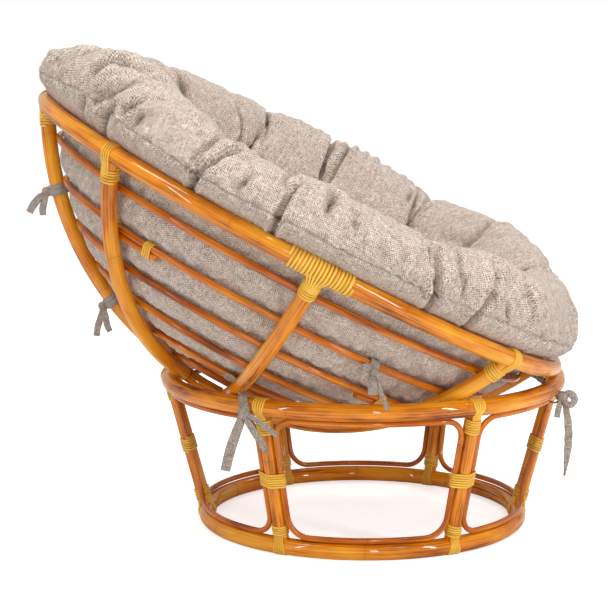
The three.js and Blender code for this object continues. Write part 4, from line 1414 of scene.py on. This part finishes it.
    def pillows(self, flat: Array, seam_run: float) -> Array:
        """How far the tufts and the pulls between them draw each point in."""
        depth = np.zeros(len(flat))
        for crease in self.creases(seam_run):
            depth = np.maximum(depth, crease.pull(flat, self.pillow_reach)[0])
        outer, inner = self.tufts(seam_run)
        for spot in outer + inner:
            away = np.linalg.norm(flat - np.array(spot), axis=1)
            depth += self.tuft_dimple * np.exp(-(away / self.dimple_reach) ** 2)
        return depth

    def folds(self, flat: Array, run: Array, turn: Array,
              seam_run: float) -> tuple[Array, Array]:
        """How far folds, puckers and the seam raise each point, and how much painted shade it gets in
        them.

        Args:
            flat: flat cloth points.
            run: their distance from the seat's middle.
            turn: their turn.
            seam_run: the seam's distance from the seat's middle.

        Returns:
            How far each point is raised, and its painted shade, 0 to 1.
        """
        size = self.wrinkles
        noise = np.random.default_rng(7)
        raised = np.zeros(len(run))
        for crease in self.creases(seam_run):
            _, away, along = crease.pull(flat, self.pillow_reach)
            phase = noise.uniform(0, TAU)
            wave = np.sin(along / noise.uniform(0.006, 0.01) + phase + 1.5 * np.sin(along / 0.02))
            raised += (size.crease_wave * wave * np.exp(-away / size.crease_reach)
                       * np.minimum(away / 0.006, 1.0))
        outer, inner = self.tufts(seam_run)
        for spot in outer + inner:
            offset = flat - np.array(spot)
            away = np.linalg.norm(offset, axis=1)
            around = np.arctan2(offset[:, 1], offset[:, 0])
            star = np.sin(around * noise.integers(6, 9) + noise.uniform(0, TAU)
                          + 0.8 * np.sin(around * 3 + away * 40))
            raised += (size.star * star * np.exp(-away / size.star_reach)
                       * np.minimum(away / 0.012, 1.0))
        gather = np.sin(turn * 88 + 3 * np.sin(turn * 13)) + 0.7 * np.sin(turn * 141 + run * 30)
        loose = 0.6 + 0.4 * np.sin(turn * 5 + 0.6)
        raised += (size.gather * gather * loose
                   * np.exp(-((run - seam_run * 0.9) / (seam_run * 0.1)) ** 2))
        # Painted shade in the folds, for the weave's colour.
        painted_shade = np.zeros(len(run))
        for fold in ROLL_FOLDS + WALL_FOLDS:
            sunk, shade = fold.sink(flat, seam_run)
            raised -= sunk
            painted_shade = np.maximum(painted_shade, shade)
        seam_away = np.abs(run - seam_run)
        raised *= np.where(run < seam_run, 1.0, np.exp(-(seam_away / size.past_seam) ** 2))
        pucker = np.sin(turn * 163 + 2.0 * np.sin(turn * 31)) + 0.6 * np.sin(turn * 97 + 1.0)
        raised += size.pucker * pucker * np.exp(-seam_away / size.pucker_reach)
        # Painted shade: a thin dark line along the seam.
        painted_shade = np.maximum(painted_shade, 0.2 * np.exp(-(seam_away / 0.002) ** 2))
        return raised - size.seam_groove * np.exp(-(seam_away / size.seam_width) ** 2), painted_shade

    def grid(self, length: Array, steps: int) -> tuple[Array, Array]:
        """The run and the turn of each point, row by row.

        Args:
            length: each row's distance along the section.
            steps: the points in a row.

        Returns:
            The two.
        """
        turns = self.shape.first_turn + TAU * np.arange(steps) / steps
        return np.repeat(length, steps), np.tile(turns, len(length))

    def sag(self, polar: Array, turn: Array, from_hoop: Array) -> tuple[Array, Array]:
        """How far the belly sags between the hoops, and how far it is lifted off the hub.

        Args:
            polar: each point's angle from the bowl's axis.
            turn: its turn.
            from_hoop: its distance from the nearest hoop.

        Returns:
            The sag and the lift of each point.
        """
        flat_by_hoop, rounding = self.bulge_reach
        beyond = np.maximum(from_hoop - flat_by_hoop, 0) / rounding
        bulge = self.hoop_bulge * (1 - np.exp(-beyond ** 2))
        by_rib = np.sin(turn * self.shape.rib_count + 1.2 * np.sin(turn * 3))
        ripple = self.wrinkles.belly_ripple * np.sin(turn * 61 + 3 * np.sin(polar * 40))
        ripple *= np.sin(polar * 55 + turn * 7)
        forward = np.degrees(polar) * np.cos(turn) - self.lift_forward
        aside = np.degrees(polar) * np.sin(turn) / self.lift_reach[1]
        forward /= np.where(forward < 0, *self.lift_reach)
        return (bulge * (1 + by_rib * self.bulge_unevenness) + ripple,
                self.belly_lift * np.exp(-forward ** 2 - aside ** 2))

    def fit_roll(self, spots: Array, turn: Array) -> None:
        """Brings the roll to its height at each turn, and pulls its front in."""
        full_height, full_radius = 0.09, 0.5
        degrees = (np.degrees(turn) + 180) % 360 - 180
        above = np.maximum(spots[:, 1] - self.shape.rim_height, 0.0)
        spots[:, 1] += above * (np.interp(degrees, *zip(*self.heights)) - 1)
        front = np.clip(np.cos(turn), 0, 1) ** 2
        rise = np.clip((spots[:, 1] - self.shape.rim_height) / full_height, 0, 1)
        outer = np.clip(spots[:, 0] / full_radius, 0, 1) ** 3
        spots[:, 0] -= self.front_pull * front * rise * outer

    def form(self) -> tuple[Array, Array, Array]:
        """The cushion before its cloth settles.

        Returns:
            Rows of points in the bowl's own frame, how firmly each point is held, and how far
            each may swell.
        """
        s = self.shape
        rows, length, seam = self.profile()
        count = len(rows)
        tangent = np.gradient(rows, axis=0)
        tangent /= np.linalg.norm(tangent, axis=1)[:, None] + 1e-12
        outward = np.stack([-tangent[:, 1], tangent[:, 0]], axis=1)
        seam_run = length[seam]
        radial = np.repeat(np.arange(count), self.steps)
        run, turn = self.grid(length, self.steps)
        top = radial <= seam
        spread = np.stack([run * np.cos(turn), run * np.sin(turn)], axis=1)
        depth = self.pillows(spread, seam_run)
        seam_away = np.abs(run - seam_run)
        past_seam = np.exp(-(seam_away / self.pull_past_seam) ** 2)
        shift = (self.pillow_crown - depth) * np.where(top, 1.0, past_seam)

        polar = np.arccos(np.clip(-rows[radial, 1] / np.linalg.norm(rows[radial], axis=1), -1, 1))
        hoops = np.array([share * s.rim_angle for share in s.hoop_shares])
        from_hoop = np.min(np.abs(polar[:, None] - hoops[None, :]), axis=1) * s.radius
        under = (~top) & (polar < s.rim_angle * 0.96)
        sag, lift = self.sag(polar, turn, from_hoop)
        shift += np.where(under, sag, 0.0)
        shift -= np.where(top, 0.0, lift)

        spots = rows[radial] + outward[radial] * shift[:, None]
        self.fit_roll(spots, turn)
        points = np.stack([spots[:, 0] * np.cos(turn), spots[:, 0] * np.sin(turn), spots[:, 1]],
                          axis=1)
        firm_from, firm_over = self.firm_depth
        held = np.where(top, np.clip((depth - firm_from) / firm_over, 0, 1), 0.0)
        by_hoop = np.exp(-(from_hoop / self.firm_at_hoop) ** 2)
        held = np.maximum(held, np.where(under, by_hoop, 0.0))
        rests = (~top) & (polar >= s.rim_angle * 0.93) & (spots[:, 1] < self.roll_height - 0.03)
        held = np.where(rests, 1.0, held)
        firmness, firm_reach = self.firm_at_seam
        held = np.maximum(held, firmness * np.exp(-(seam_away / firm_reach) ** 2))
        swell = np.where(top, self.most_swell, np.where(under, 0.004, 0.006))
        return points.reshape(count, self.steps, 3), held, swell

    @staticmethod
    def closed(grid: Array) -> tuple[Array, list[list[int]]]:
        """The rows joined into a closed mesh, with one point in place of the first and last row."""
        count, steps = grid.shape[:2]
        points = np.vstack([grid[1:-1].reshape(-1, 3), grid[0].mean(0), grid[-1].mean(0)])
        first = np.arange(steps)
        after = (first + 1) % steps
        band = np.stack([first, after, after + steps, first + steps], axis=1)
        faces = np.concatenate([band + i * steps for i in range(count - 3)]).tolist()
        middle, last = (count - 2) * steps, (count - 3) * steps
        faces += np.stack([np.full(steps, middle), after, first], axis=1).tolist()
        faces += np.stack([np.full(steps, middle + 1), last + first, last + after], axis=1).tolist()
        return points, faces

    def inflate(self, grid: Array, held: Array, swell: Array) -> Array:
        """Lets the cloth fill out and wrinkle under pressure, held at its tufts and on the poles.

        Args:
            grid: the rows of points.
            held: how firmly each point is held, 0 to 1.
            swell: how far each point may move.

        Returns:
            The rows of points where the cloth settles.
        """
        count, steps = grid.shape[:2]
        before, faces = self.closed(grid)
        mesh = bpy.data.meshes.new("settling_cloth")
        mesh.from_pydata(before.tolist(), [], faces)
        face_out(mesh)
        part = put("settling_cloth", mesh)
        held, swell = (np.concatenate([values[steps:-steps], [0.0, 0.0]])
                       for values in (held, swell))
        swell[-2:] = 0.01, 0.004
        group = part.vertex_groups.new(name="held")
        for level in range(1, 11):
            chosen = np.nonzero(np.round(held * 10) == level)[0].tolist()
            if chosen:
                group.add(chosen, level / 10, "REPLACE")
        modifier = part.modifiers.new("cloth", "CLOTH")
        for setting, value in CLOTH_SETTINGS.items():
            setattr(modifier.settings, setting, value)
        modifier.settings.effector_weights.gravity = 0
        modifier.collision_settings.use_collision = False
        scene = bpy.context.scene
        scene.frame_start, scene.frame_end = 1, self.settling_frames
        modifier.point_cache.frame_end = self.settling_frames
        for frame in range(1, self.settling_frames + 1):
            scene.frame_set(frame)
        shaped = part.evaluated_get(bpy.context.evaluated_depsgraph_get()).data
        after = np.empty(len(mesh.vertices) * 3)
        shaped.vertices.foreach_get("co", after)
        move = after.reshape(-1, 3) - before
        size = np.linalg.norm(move, axis=1)
        settled = before + move * (swell * np.tanh(size / swell) / np.maximum(size, 1e-9))[:, None]
        bpy.data.objects.remove(part)
        scene.frame_set(1)
        LOG.info("cushion: moved %.4f m at most, %.4f m on average", size.max(), size.mean())
        inner = settled[:-2].reshape(count - 2, steps, 3)
        ends = [np.tile(spot, (1, steps, 1)) for spot in settled[-2:]]
        return np.concatenate([ends[0], inner, ends[1]])

    def refine(self, grid: Array) -> Array:
        """Puts smooth in-between points into each row."""
        before, after, beyond = (np.roll(grid, k, axis=1) for k in (1, -1, -2))
        parts = [between(before, grid, after, beyond, share)
                 for share in np.arange(self.finer) / self.finer]
        return np.stack(parts, axis=2).reshape(grid.shape[0], -1, 3)

    def build(self, bench: Bench) -> None:
        """Makes the cushion and puts it in the bowl."""
        grid, held, swell = self.form()
        grid = self.inflate(grid, held, swell)
        grid = self.refine(grid)
        _, length, seam = self.profile()
        run, turn = self.grid(length, grid.shape[1])
        spread = np.stack([run * np.cos(turn), run * np.sin(turn)], axis=1)
        down = np.gradient(grid, axis=0)
        aside = np.roll(grid, -1, axis=1) - np.roll(grid, 1, axis=1)
        normal = np.cross(down, aside)
        normal /= np.linalg.norm(normal, axis=2)[:, :, None] + 1e-12
        raised, painted_shade = self.folds(spread, run, turn, length[seam])
        points, faces = self.closed(grid + normal * raised.reshape(grid.shape[:2])[:, :, None])
        matrix = np.array(self.shape.to_room)
        part = bench.mesh("seat_cushion", points @ matrix[:3, :3].T + matrix[:3, 3], faces,
                          Finish.CUSHION)
        face_out(part.data)
        flat_run = np.where(run <= length[seam], run, length[-1] - run)
        # The cloth attribute's third number carries the painted shade of the folds and the seam.
        flat = np.stack([flat_run * np.cos(turn), flat_run * np.sin(turn), painted_shade], axis=1)
        flat, _ = self.closed(flat.reshape(grid.shape))
        lay_cloth(part, flat)
        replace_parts(part, "cushion")
        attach(part, "bowl")
        LOG.info("cushion: %d faces", len(part.data.polygons))


@dataclass
class Tape:
    """A flat sewn tie laid through stops: a point, the way its face turns, and its width there."""

    stops: Sequence[tuple[Vector, Vector, float]]
    steps: int = 10
    thickness: float = 0.0024
    ripple: float = 0.0006
    half_section: tuple[Pair, ...] = ((-1, 0), (-0.94, 0.55), (-0.6, 1), (-0.2, 0.86), (0.2, 0.86),
                                      (0.6, 1), (0.94, 0.55))

    def spline(self, values: Array) -> Array:
        """Smooth values through the stops."""
        out = []
        last = len(values) - 1
        for i in range(last):
            before, after = values[max(i - 1, 0)], values[min(i + 2, last)]
            for share in np.linspace(0, 1, self.steps, endpoint=False):
                out.append(between(before, values[i], values[i + 1], after, share))
        out.append(values[-1])
        return np.array(out)

    def mesh(self) -> Form:
        """The tape's points, faces and flat cloth coordinates."""
        path = self.spline(np.array([tuple(p) for p, _, _ in self.stops]))
        face = self.spline(np.array([tuple(f) for _, f, _ in self.stops]))
        width = self.spline(np.array([[w] for _, _, w in self.stops]))[:, 0]
        tangent = np.gradient(path, axis=0)
        tangent /= np.linalg.norm(tangent, axis=1)[:, None] + 1e-12
        across = np.cross(face, tangent)
        across /= np.linalg.norm(across, axis=1)[:, None] + 1e-12
        normal = np.cross(tangent, across)
        run = np.concatenate([[0], np.cumsum(np.linalg.norm(np.diff(path, axis=0), axis=1))])
        shares = self.half_section + tuple((-w, -t) for w, t in self.half_section)
        points, flat = [], []
        for i in range(len(path)):
            for w, t in shares:
                ripple = self.ripple * math.sin(run[i] * 260 + w * 2.4)
                points.append(path[i] + across[i] * w * width[i] / 2
                              + normal[i] * (t * self.thickness / 2 + ripple))
                flat.append((w * width[i] / 2 + (0.05 if t < 0 else 0.0), run[i]))
        sides = len(shares)
        faces = sleeve(len(path), sides)
        faces.append(list(range(sides))[::-1])
        top = (len(path) - 1) * sides
        faces.append([top + j for j in range(sides)])
        return np.array(points), faces, np.array(flat)


def knot_mesh(centre: Vector, axis: Vector, size: float) -> Form:
    """A pulled knot: a lump whose folds wind round it.

    Args:
        centre: its middle.
        axis: the way that the tie runs through it.
        size: its radius.

    Returns:
        Points, faces and flat cloth coordinates.
    """
    turn = Vector((0, 0, 1)).rotation_difference(axis).to_matrix()
    points, flat = [], []
    rows, columns = 25, 32
    winds, twist = 1.5, 2.2
    waist, puff, squat = 0.86, 0.2, 0.82
    for i in range(rows):
        height = math.pi * i / (rows - 1)
        for j in range(columns):
            around = TAU * j / columns
            fold = abs(math.sin(winds * around + twist * math.cos(height) + 0.6))
            bulge = size * (waist + puff * fold)
            spot = Vector((bulge * math.sin(height) * math.cos(around),
                           bulge * math.sin(height) * math.sin(around),
                           size * squat * math.cos(height)))
            points.append(tuple(centre + turn @ spot))
            flat.append((around * size, height * size))
    return np.array(points), sleeve(rows, columns), np.array(flat)


# Each rib tie: the hoop it is at, how far up the rib from there, and its tails. A tail is its end,
# a bend on the way, and its width.
RIB_TIES = (
    (2, 0.067, (((-0.032, -0.012, -0.038), (-0.014, -0.013, -0.012), 0.0145),
                ((-0.006, -0.016, -0.043), (-0.003, -0.014, -0.016), 0.013))),
    (4, 0.0105, (((-0.012, -0.012, -0.055), (-0.004, -0.012, -0.02), 0.0125),
                 ((0.014, -0.016, -0.046), (0.006, -0.014, -0.018), 0.012))))
HOOP_TAILS = (((0.025, -0.014, -0.062), (0.008, -0.017, -0.02), 0.008),
              ((0.0, -0.018, -0.036), (-0.002, -0.018, -0.014), 0.016),
              ((-0.024, -0.01, 0.002), (-0.012, -0.014, 0.01), 0.013))
# The ring ties' tails: stops on each one, from the knot on, and the width there.
REAR_TAILS = (
    ((-0.001, -0.006, -0.002, 0.012), (-0.007, -0.012, -0.02, 0.016), (-0.019, -0.014, -0.053, 0.018),
     (-0.026, -0.013, -0.078, 0.0175), (-0.031, -0.012, -0.1, 0.017)),
    ((0.001, -0.006, -0.002, 0.011), (0.009, -0.014, -0.016, 0.0115), (0.021, -0.02, -0.034, 0.0125),
     (0.04, -0.024, -0.064, 0.012)),
    ((0.002, -0.004, 0.0, 0.008), (0.018, -0.016, -0.008, 0.0085), (0.038, -0.022, -0.021, 0.0095),
     (0.059, -0.024, -0.037, 0.009)))
FRONT_TAILS = (
    ((0.0, 0.0, 0.0, 0.01), (0.007, -0.006, -0.02, 0.013), (0.012, -0.008, -0.06, 0.0165),
     (0.011, -0.008, -0.1, 0.015), (0.006, -0.008, -0.145, 0.003)),
    ((0.0, 0.0, 0.0, 0.01), (-0.006, -0.008, -0.014, 0.012), (-0.01, -0.01, -0.036, 0.013)),
    ((0.0, 0.0, 0.0, 0.01), (0.012, -0.006, 0.008, 0.014), (0.022, -0.008, -0.002, 0.015),
     (0.014, -0.012, -0.012, 0.012), (0.002, -0.008, -0.004, 0.009)))


@dataclass
class Ties:
    """The cloth ties on the bowl, and the two that hold the bowl to the stand."""

    shape: BowlShape
    stand: Stand
    width: float = 0.017
    knot: float = 0.0095
    rib_tail_reach: float = 0.022
    hoop_tail_reach: float = 0.014
    hoop_tie_turn: float = -64.0
    facing: Triple = (-0.15, -1.0, 0.1)
    rear_turn: float = -123.4
    rear_knot: float = 0.0115
    rear_lift: float = 0.0024
    rear_strap_lift: float = 0.0032
    rear_strap_aside: float = 4.3
    rear_facing: Triple = (0.1, -1.0, 0.05)
    front_turn: float = -20.0
    front_knot: float = 0.011
    front_strap_lift: float = 0.0034
    front_facing: Triple = (0.35, -1.0, 0.1)

    def piece(self, bench: Bench, name: str, forms: Sequence[Form]) -> bpy.types.Object:
        """One object from tapes and knots."""
        points, faces, flat = [], [], []
        first = 0
        for form_points, form_faces, form_flat in forms:
            points.append(form_points)
            flat.append(form_flat)
            faces.extend([[v + first for v in face] for face in form_faces])
            first += len(form_points)
        part = bench.mesh(name, np.vstack(points), faces, Finish.TIE)
        coordinates = np.vstack(flat)
        lay_cloth(part, np.hstack([coordinates, np.zeros((len(coordinates), 1))]))
        work = bmesh.new()
        work.from_mesh(part.data)
        bmesh.ops.remove_doubles(work, verts=work.verts, dist=0.00002)
        bmesh.ops.recalc_face_normals(work, faces=work.faces)
        work.to_mesh(part.data)
        work.free()
        return part

    def band(self, centre: Vector, zero: Vector, side: Vector, radius: float, first: float,
             last: float, width: float | None = None) -> Form:
        """A tape part of the way round a pole.

        Args:
            centre: the pole's centre.
            zero: the way from there at angle 0.
            side: the way from there at a quarter turn.
            radius: the tape's distance from the centre.
            first: the angle that it starts at.
            last: the angle that it ends at.
            width: its width, or None for the usual one.

        Returns:
            Points, faces and flat cloth coordinates.
        """
        stops = []
        for angle in arc(first, last, 9):
            out = zero * math.cos(angle) + side * math.sin(angle)
            stops.append((centre + out * radius, out, width or self.width))
        return Tape(stops, steps=6).mesh()

    def bowl_tie(self, bench: Bench, node: str, centre: Vector, out: Vector, axis: Vector,
                 pole: float, reach: float,
                 tails: Sequence[tuple[Triple, Triple, float]]) -> bpy.types.Object:
        """A tie round a pole of the bowl: two turns, the knot and its tails.

        Args:
            bench: the makers.
            node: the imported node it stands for.
            centre: the pole's centre.
            out: from the pole to the knot.
            axis: along the pole.
            pole: the pole's radius.
            reach: how far out from the pole's centre the tails are measured from.
            tails: each tail's end, a bend on the way and its width.

        Returns:
            The piece.
        """
        side, facing = axis.cross(out), Vector(self.facing)
        middle, tail_start = centre + out * (pole + 0.008), centre + out * reach
        forms = [self.band(centre + axis * along, out, side, pole + lift, 0.2, TAU - 0.2, width)
                 for along, lift, width in ((0.003, 0.0017, 0.014), (-0.005, 0.0029, 0.011))]
        forms.append(knot_mesh(middle, side, self.knot))
        for last_stop, on_the_way, width in tails:
            end, bend = tail_start + Vector(last_stop), tail_start + Vector(on_the_way)
            forms.append(Tape([
                (middle, facing, width * 0.6), (middle.lerp(bend, 0.5), facing, width * 0.8),
                (bend, facing, width), (bend.lerp(end, 0.5) + out * 0.002, facing, width * 1.02),
                (end, facing, width * 0.96)]).mesh())
        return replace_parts(self.piece(bench, f"{node}_cloth", forms), node)

    def build(self, bench: Bench) -> None:
        """Makes the ties."""
        self.build_rib_ties(bench)
        self.build_hoop_tie(bench)
        self.build_rear(bench)
        self.build_front(bench)

    def build_rib_ties(self, bench: Bench) -> None:
        """The two ties on the back rib. The lower one gets its own copy of its mesh."""
        s = self.shape
        back = s.first_turn + math.pi
        for i, (hoop, lift, tails) in enumerate(RIB_TIES):
            angle = s.hoop_shares[hoop] * s.rim_angle + lift / s.radius
            centre = s.room(s.point(angle, back))
            out = s.direction(s.point(angle, back, 1.0))
            axis = s.direction(Vector((math.cos(angle) * math.cos(back),
                                       math.cos(angle) * math.sin(back), math.sin(angle))))
            tie = self.bowl_tie(bench, f"rib_tie_{i + 1}", centre, out, axis, s.rib_radius,
                                self.rib_tail_reach, tails)
            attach(tie, "bowl")
            if i == 1:
                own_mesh(tie)

    def build_hoop_tie(self, bench: Bench) -> None:
        """The tie on the second hoop."""
        s = self.shape
        angle = s.hoop_shares[1] * s.rim_angle
        turn = math.radians(self.hoop_tie_turn)
        centre = s.room(s.point(angle, turn, s.hoop_sphere))
        out = s.direction(s.point(angle, turn, 1.0))
        axis = s.direction(Vector((-math.sin(turn), math.cos(turn), 0)))
        tie = self.bowl_tie(bench, "hoop_tie", centre, out, axis, s.hoop_pole,
                            self.hoop_tail_reach, HOOP_TAILS)
        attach(tie, "bowl")

    def ring_frame(self, turn: float) -> tuple[Vector, Vector, Vector]:
        """The top ring's centre at a turn, and the ways out and along there."""
        centre = self.stand.ring(self.stand.top_radius, turn, self.stand.top_height)
        out = Vector((math.cos(turn), math.sin(turn), 0))
        return centre, out, Vector((-math.sin(turn), math.cos(turn), 0))

    @staticmethod
    def loose_ends(middle: Vector, face: Vector,
                   tails: Sequence[Sequence[tuple[float, float, float, float]]]) -> list[Form]:
        """Tapes that hang from a knot's middle, their flat sides turned one way."""
        return [Tape([(middle + Vector((x, y, z)), face, w) for x, y, z, w in tail]).mesh()
                for tail in tails]

    def build_rear(self, bench: Bench) -> None:
        """The rear tie and its strap up to the hoop.

        The tie goes round the top ring, open where the bay's rod lies against the ring, and its long
        flat tails hang down.
        """
        s = self.shape
        turn = math.radians(self.rear_turn)
        centre, out, side = self.ring_frame(turn)
        up = Vector((0, 0, 1))
        middle = centre + (out * 0.97 - up * 0.24) * (self.stand.pole_radius + 0.0095)
        around = self.stand.pole_radius + self.rear_lift
        rod_from, rod_to = -2.2, -1.48
        forms = [self.band(centre, out, up, around, rod_to, 0.3),
                 self.band(centre, out, up, around, -math.pi, rod_from),
                 knot_mesh(middle, side, self.rear_knot)]
        forms += self.loose_ends(middle, Vector(self.rear_facing), REAR_TAILS)
        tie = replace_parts(self.piece(bench, "rear_ring_tie_cloth", forms), "rear_ring_tie")
        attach(tie, "ring_ties")
        clear = self.stand.pole_radius + self.rear_strap_lift
        stops = []
        for angle, aside in ((-0.1, 0.0), (0.5, -0.014), (1.1, -0.034), (1.65, -0.052)):
            spot, outward, _ = self.ring_frame(turn + aside)
            facing = outward * math.cos(angle) + up * math.sin(angle)
            stops.append((spot + facing * clear, facing, self.width))
        hoop = s.hoop_shares[4] * s.rim_angle
        bowl_turn = s.rib_turn(7) - math.radians(self.rear_strap_aside)
        outside = s.hoop_sphere + s.hoop_pole
        for past_hoop, radius in ((0.035, outside + 0.002), (0.0, outside + 0.0034),
                                  (-0.022, s.hoop_sphere)):
            angle = hoop + past_hoop
            spot = s.room(s.point(angle, bowl_turn, radius))
            stops.append((spot, s.direction(s.point(angle, bowl_turn, 1.0)) + up * 0.2,
                          self.width))
        stops[-1] = (stops[-1][0], stops[-1][0] - stops[-2][0] + up * 0.01, self.width)
        strap = self.piece(bench, "rear_strap_cloth", [Tape(stops).mesh()])
        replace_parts(strap, "rear_ring_tie_strap")
        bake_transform(strap)

    def build_front(self, bench: Bench) -> None:
        """The front tie: round the top ring, a bow and a long tail, and its strap up to the rim."""
        s = self.shape
        turn = math.radians(self.front_turn)
        centre, out, side = self.ring_frame(turn)
        up = Vector((0, 0, 1))
        knot_angle = -math.pi / 4
        outer = out * math.cos(knot_angle) + up * math.sin(knot_angle)
        middle = centre + outer * (self.stand.pole_radius + 0.009)
        forms = [self.band(centre - up * 0.0055, out, up, self.stand.pole_radius + 0.0075,
                           -math.pi, knot_angle + 0.5),
                 knot_mesh(middle, side, self.front_knot)]
        forms += self.loose_ends(middle, Vector(self.front_facing), FRONT_TAILS)
        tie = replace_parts(self.piece(bench, "front_ring_tie_cloth", forms), "front_ring_tie")
        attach(tie, "ring_ties")
        clear = self.stand.pole_radius + self.front_strap_lift
        low = self.stand.ring(self.stand.top_radius - clear, turn, self.stand.top_height + 0.01)
        high = s.room(on_ring(s.rim_radius - s.pole_radius - 0.022, turn,
                              s.rim_height - s.pole_radius))
        bottom = low - up * 0.02
        stops = [(bottom, -out, self.width), (low, -out, self.width),
                 (low.lerp(high, 0.5), -out, self.width), (high, -out, self.width)]
        strap = self.piece(bench, "front_strap_cloth", [Tape(stops).mesh()])
        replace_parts(strap, "front_ring_tie_strap")
        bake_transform(strap)


@dataclass(frozen=True)
class Lamp:
    """A soft box: its place, what it is aimed at, its width and height, and its power."""

    name: str
    place: Triple
    aim: Triple
    size: Pair
    power: float


LAMPS = (
    Lamp("key_light", (-0.2, -1.3, 3.2), (0.05, 0, 0.4), (3.4, 0.5), 55.0),
    Lamp("front_light", (0.5, -3.6, 1.5), (0.1, 0, 0.4), (0.3, 1.5), 12.0),
    Lamp("right_light", (2.4, -2.2, 1.6), (0.05, 0, 0.4), (0.2, 1.6), 30.0),
    Lamp("left_light", (-2.1, -2.2, 1.5), (0.05, 0, 0.4), (0.12, 1.6), 10.0),
    Lamp("back_light", (0.6, 2.3, 2.5), (0.05, 0, 0.5), (1.8, 0.4), 22.0),
)


@dataclass
class Studio:
    """The floor, the lights and the camera of a plain product shot."""

    stand_axis_x: float
    camera_from_axis: Triple = (-0.111, -3.2, 0.8447)
    pitch: float = 7.69
    lens: float = 101.14
    floor_reach: float = 12.0
    floor_glow: float = 0.6
    room_light: float = 0.55

    def make_floor(self) -> None:
        """A pale floor that shows white to the camera and keeps the chair's shadow."""
        mesh = bpy.data.meshes.new("floor")
        corners = ((-1, -1), (1, -1), (1, 1), (-1, 1))
        mesh.from_pydata([(x * self.floor_reach, y * self.floor_reach, 0) for x, y in corners],
                         [], [(0, 1, 2, 3)])
        floor = put("floor", mesh)
        shader = Shader("pale_floor")
        path = shader.node("ShaderNodeLightPath")
        glow = shader.mix(path.outputs["Is Camera Ray"], (0.0, 0.0, 0.0), (self.floor_glow,) * 3)
        shader.dress(Base_Color=(0.86, 0.86, 0.86), Roughness=0.8, Emission_Color=glow,
                     Emission_Strength=1.0)
        mesh.materials.append(shader.material)

    def make_world(self) -> None:
        """Even light from a white room, and white behind the chair."""
        world = bpy.data.worlds.new("white_room")
        world.use_nodes = True
        tree = Tree(world.node_tree)
        ground = world.node_tree.nodes["Background"]
        ground.inputs["Strength"].default_value = self.room_light
        ground.inputs["Color"].default_value = (1, 1, 1, 1)
        path = tree.node("ShaderNodeLightPath")
        white = tree.node("ShaderNodeBackground", {"Color": (1, 1, 1), "Strength": 1.0})
        seen = Value(world.node_tree, path.outputs["Is Camera Ray"]).maths(
            "MAXIMUM", Value(world.node_tree, path.outputs["Is Transmission Ray"]))
        mix = tree.node("ShaderNodeMixShader", {"Fac": seen})
        world.node_tree.links.new(ground.outputs[0], mix.inputs[1])
        world.node_tree.links.new(white.outputs[0], mix.inputs[2])
        world.node_tree.links.new(mix.outputs[0],
                                  world.node_tree.nodes["World Output"].inputs[0])
        bpy.context.scene.world = world

    def make_lamps(self) -> None:
        """The soft boxes."""
        for lamp in LAMPS:
            data = bpy.data.lights.new(lamp.name, "AREA")
            data.shape = "RECTANGLE"
            data.size, data.size_y = lamp.size
            data.energy = lamp.power
            part = put(lamp.name, data)
            part.location = lamp.place
            aim = Vector(lamp.aim) - Vector(lamp.place)
            part.rotation_euler = aim.to_track_quat("-Z", "Y").to_euler()

    def make_camera(self) -> None:
        """The photograph's viewpoint."""
        data = bpy.data.cameras.new("camera")
        data.lens = self.lens
        data.sensor_width = 36.0
        part = put("camera", data)
        aside, back, height = self.camera_from_axis
        part.location = (self.stand_axis_x + aside, back, height)
        part.rotation_euler = (math.radians(90 - self.pitch), 0, 0)
        bpy.context.scene.camera = part

    def build(self) -> None:
        """Sets the shot up."""
        self.make_camera()
        self.make_floor()
        self.make_world()
        self.make_lamps()
        bpy.context.scene.view_settings.view_transform = "Standard"


def main() -> None:
    """Builds the chair's looks and the shot."""
    logging.basicConfig(level=logging.INFO, format="%(name)s %(message)s")
    for thing in list(bpy.data.objects):
        bpy.data.objects.remove(thing)
    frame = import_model()
    tilt = next(joint for joint in frame["joints"] if joint["name"] == "bowl_tilt")
    axis_x, _, centre_height = tilt["pos_m"]
    Studio(axis_x).build()
    bench = Bench()
    stand = Stand(axis_x)
    shape = BowlShape(axis_x, centre_height, stand.top_radius)
    stand.build(bench)
    Bowl(shape).build(bench)
    Cushion(shape).build(bench)
    Ties(shape, stand).build(bench)


if __name__ == "__main__":
    main()
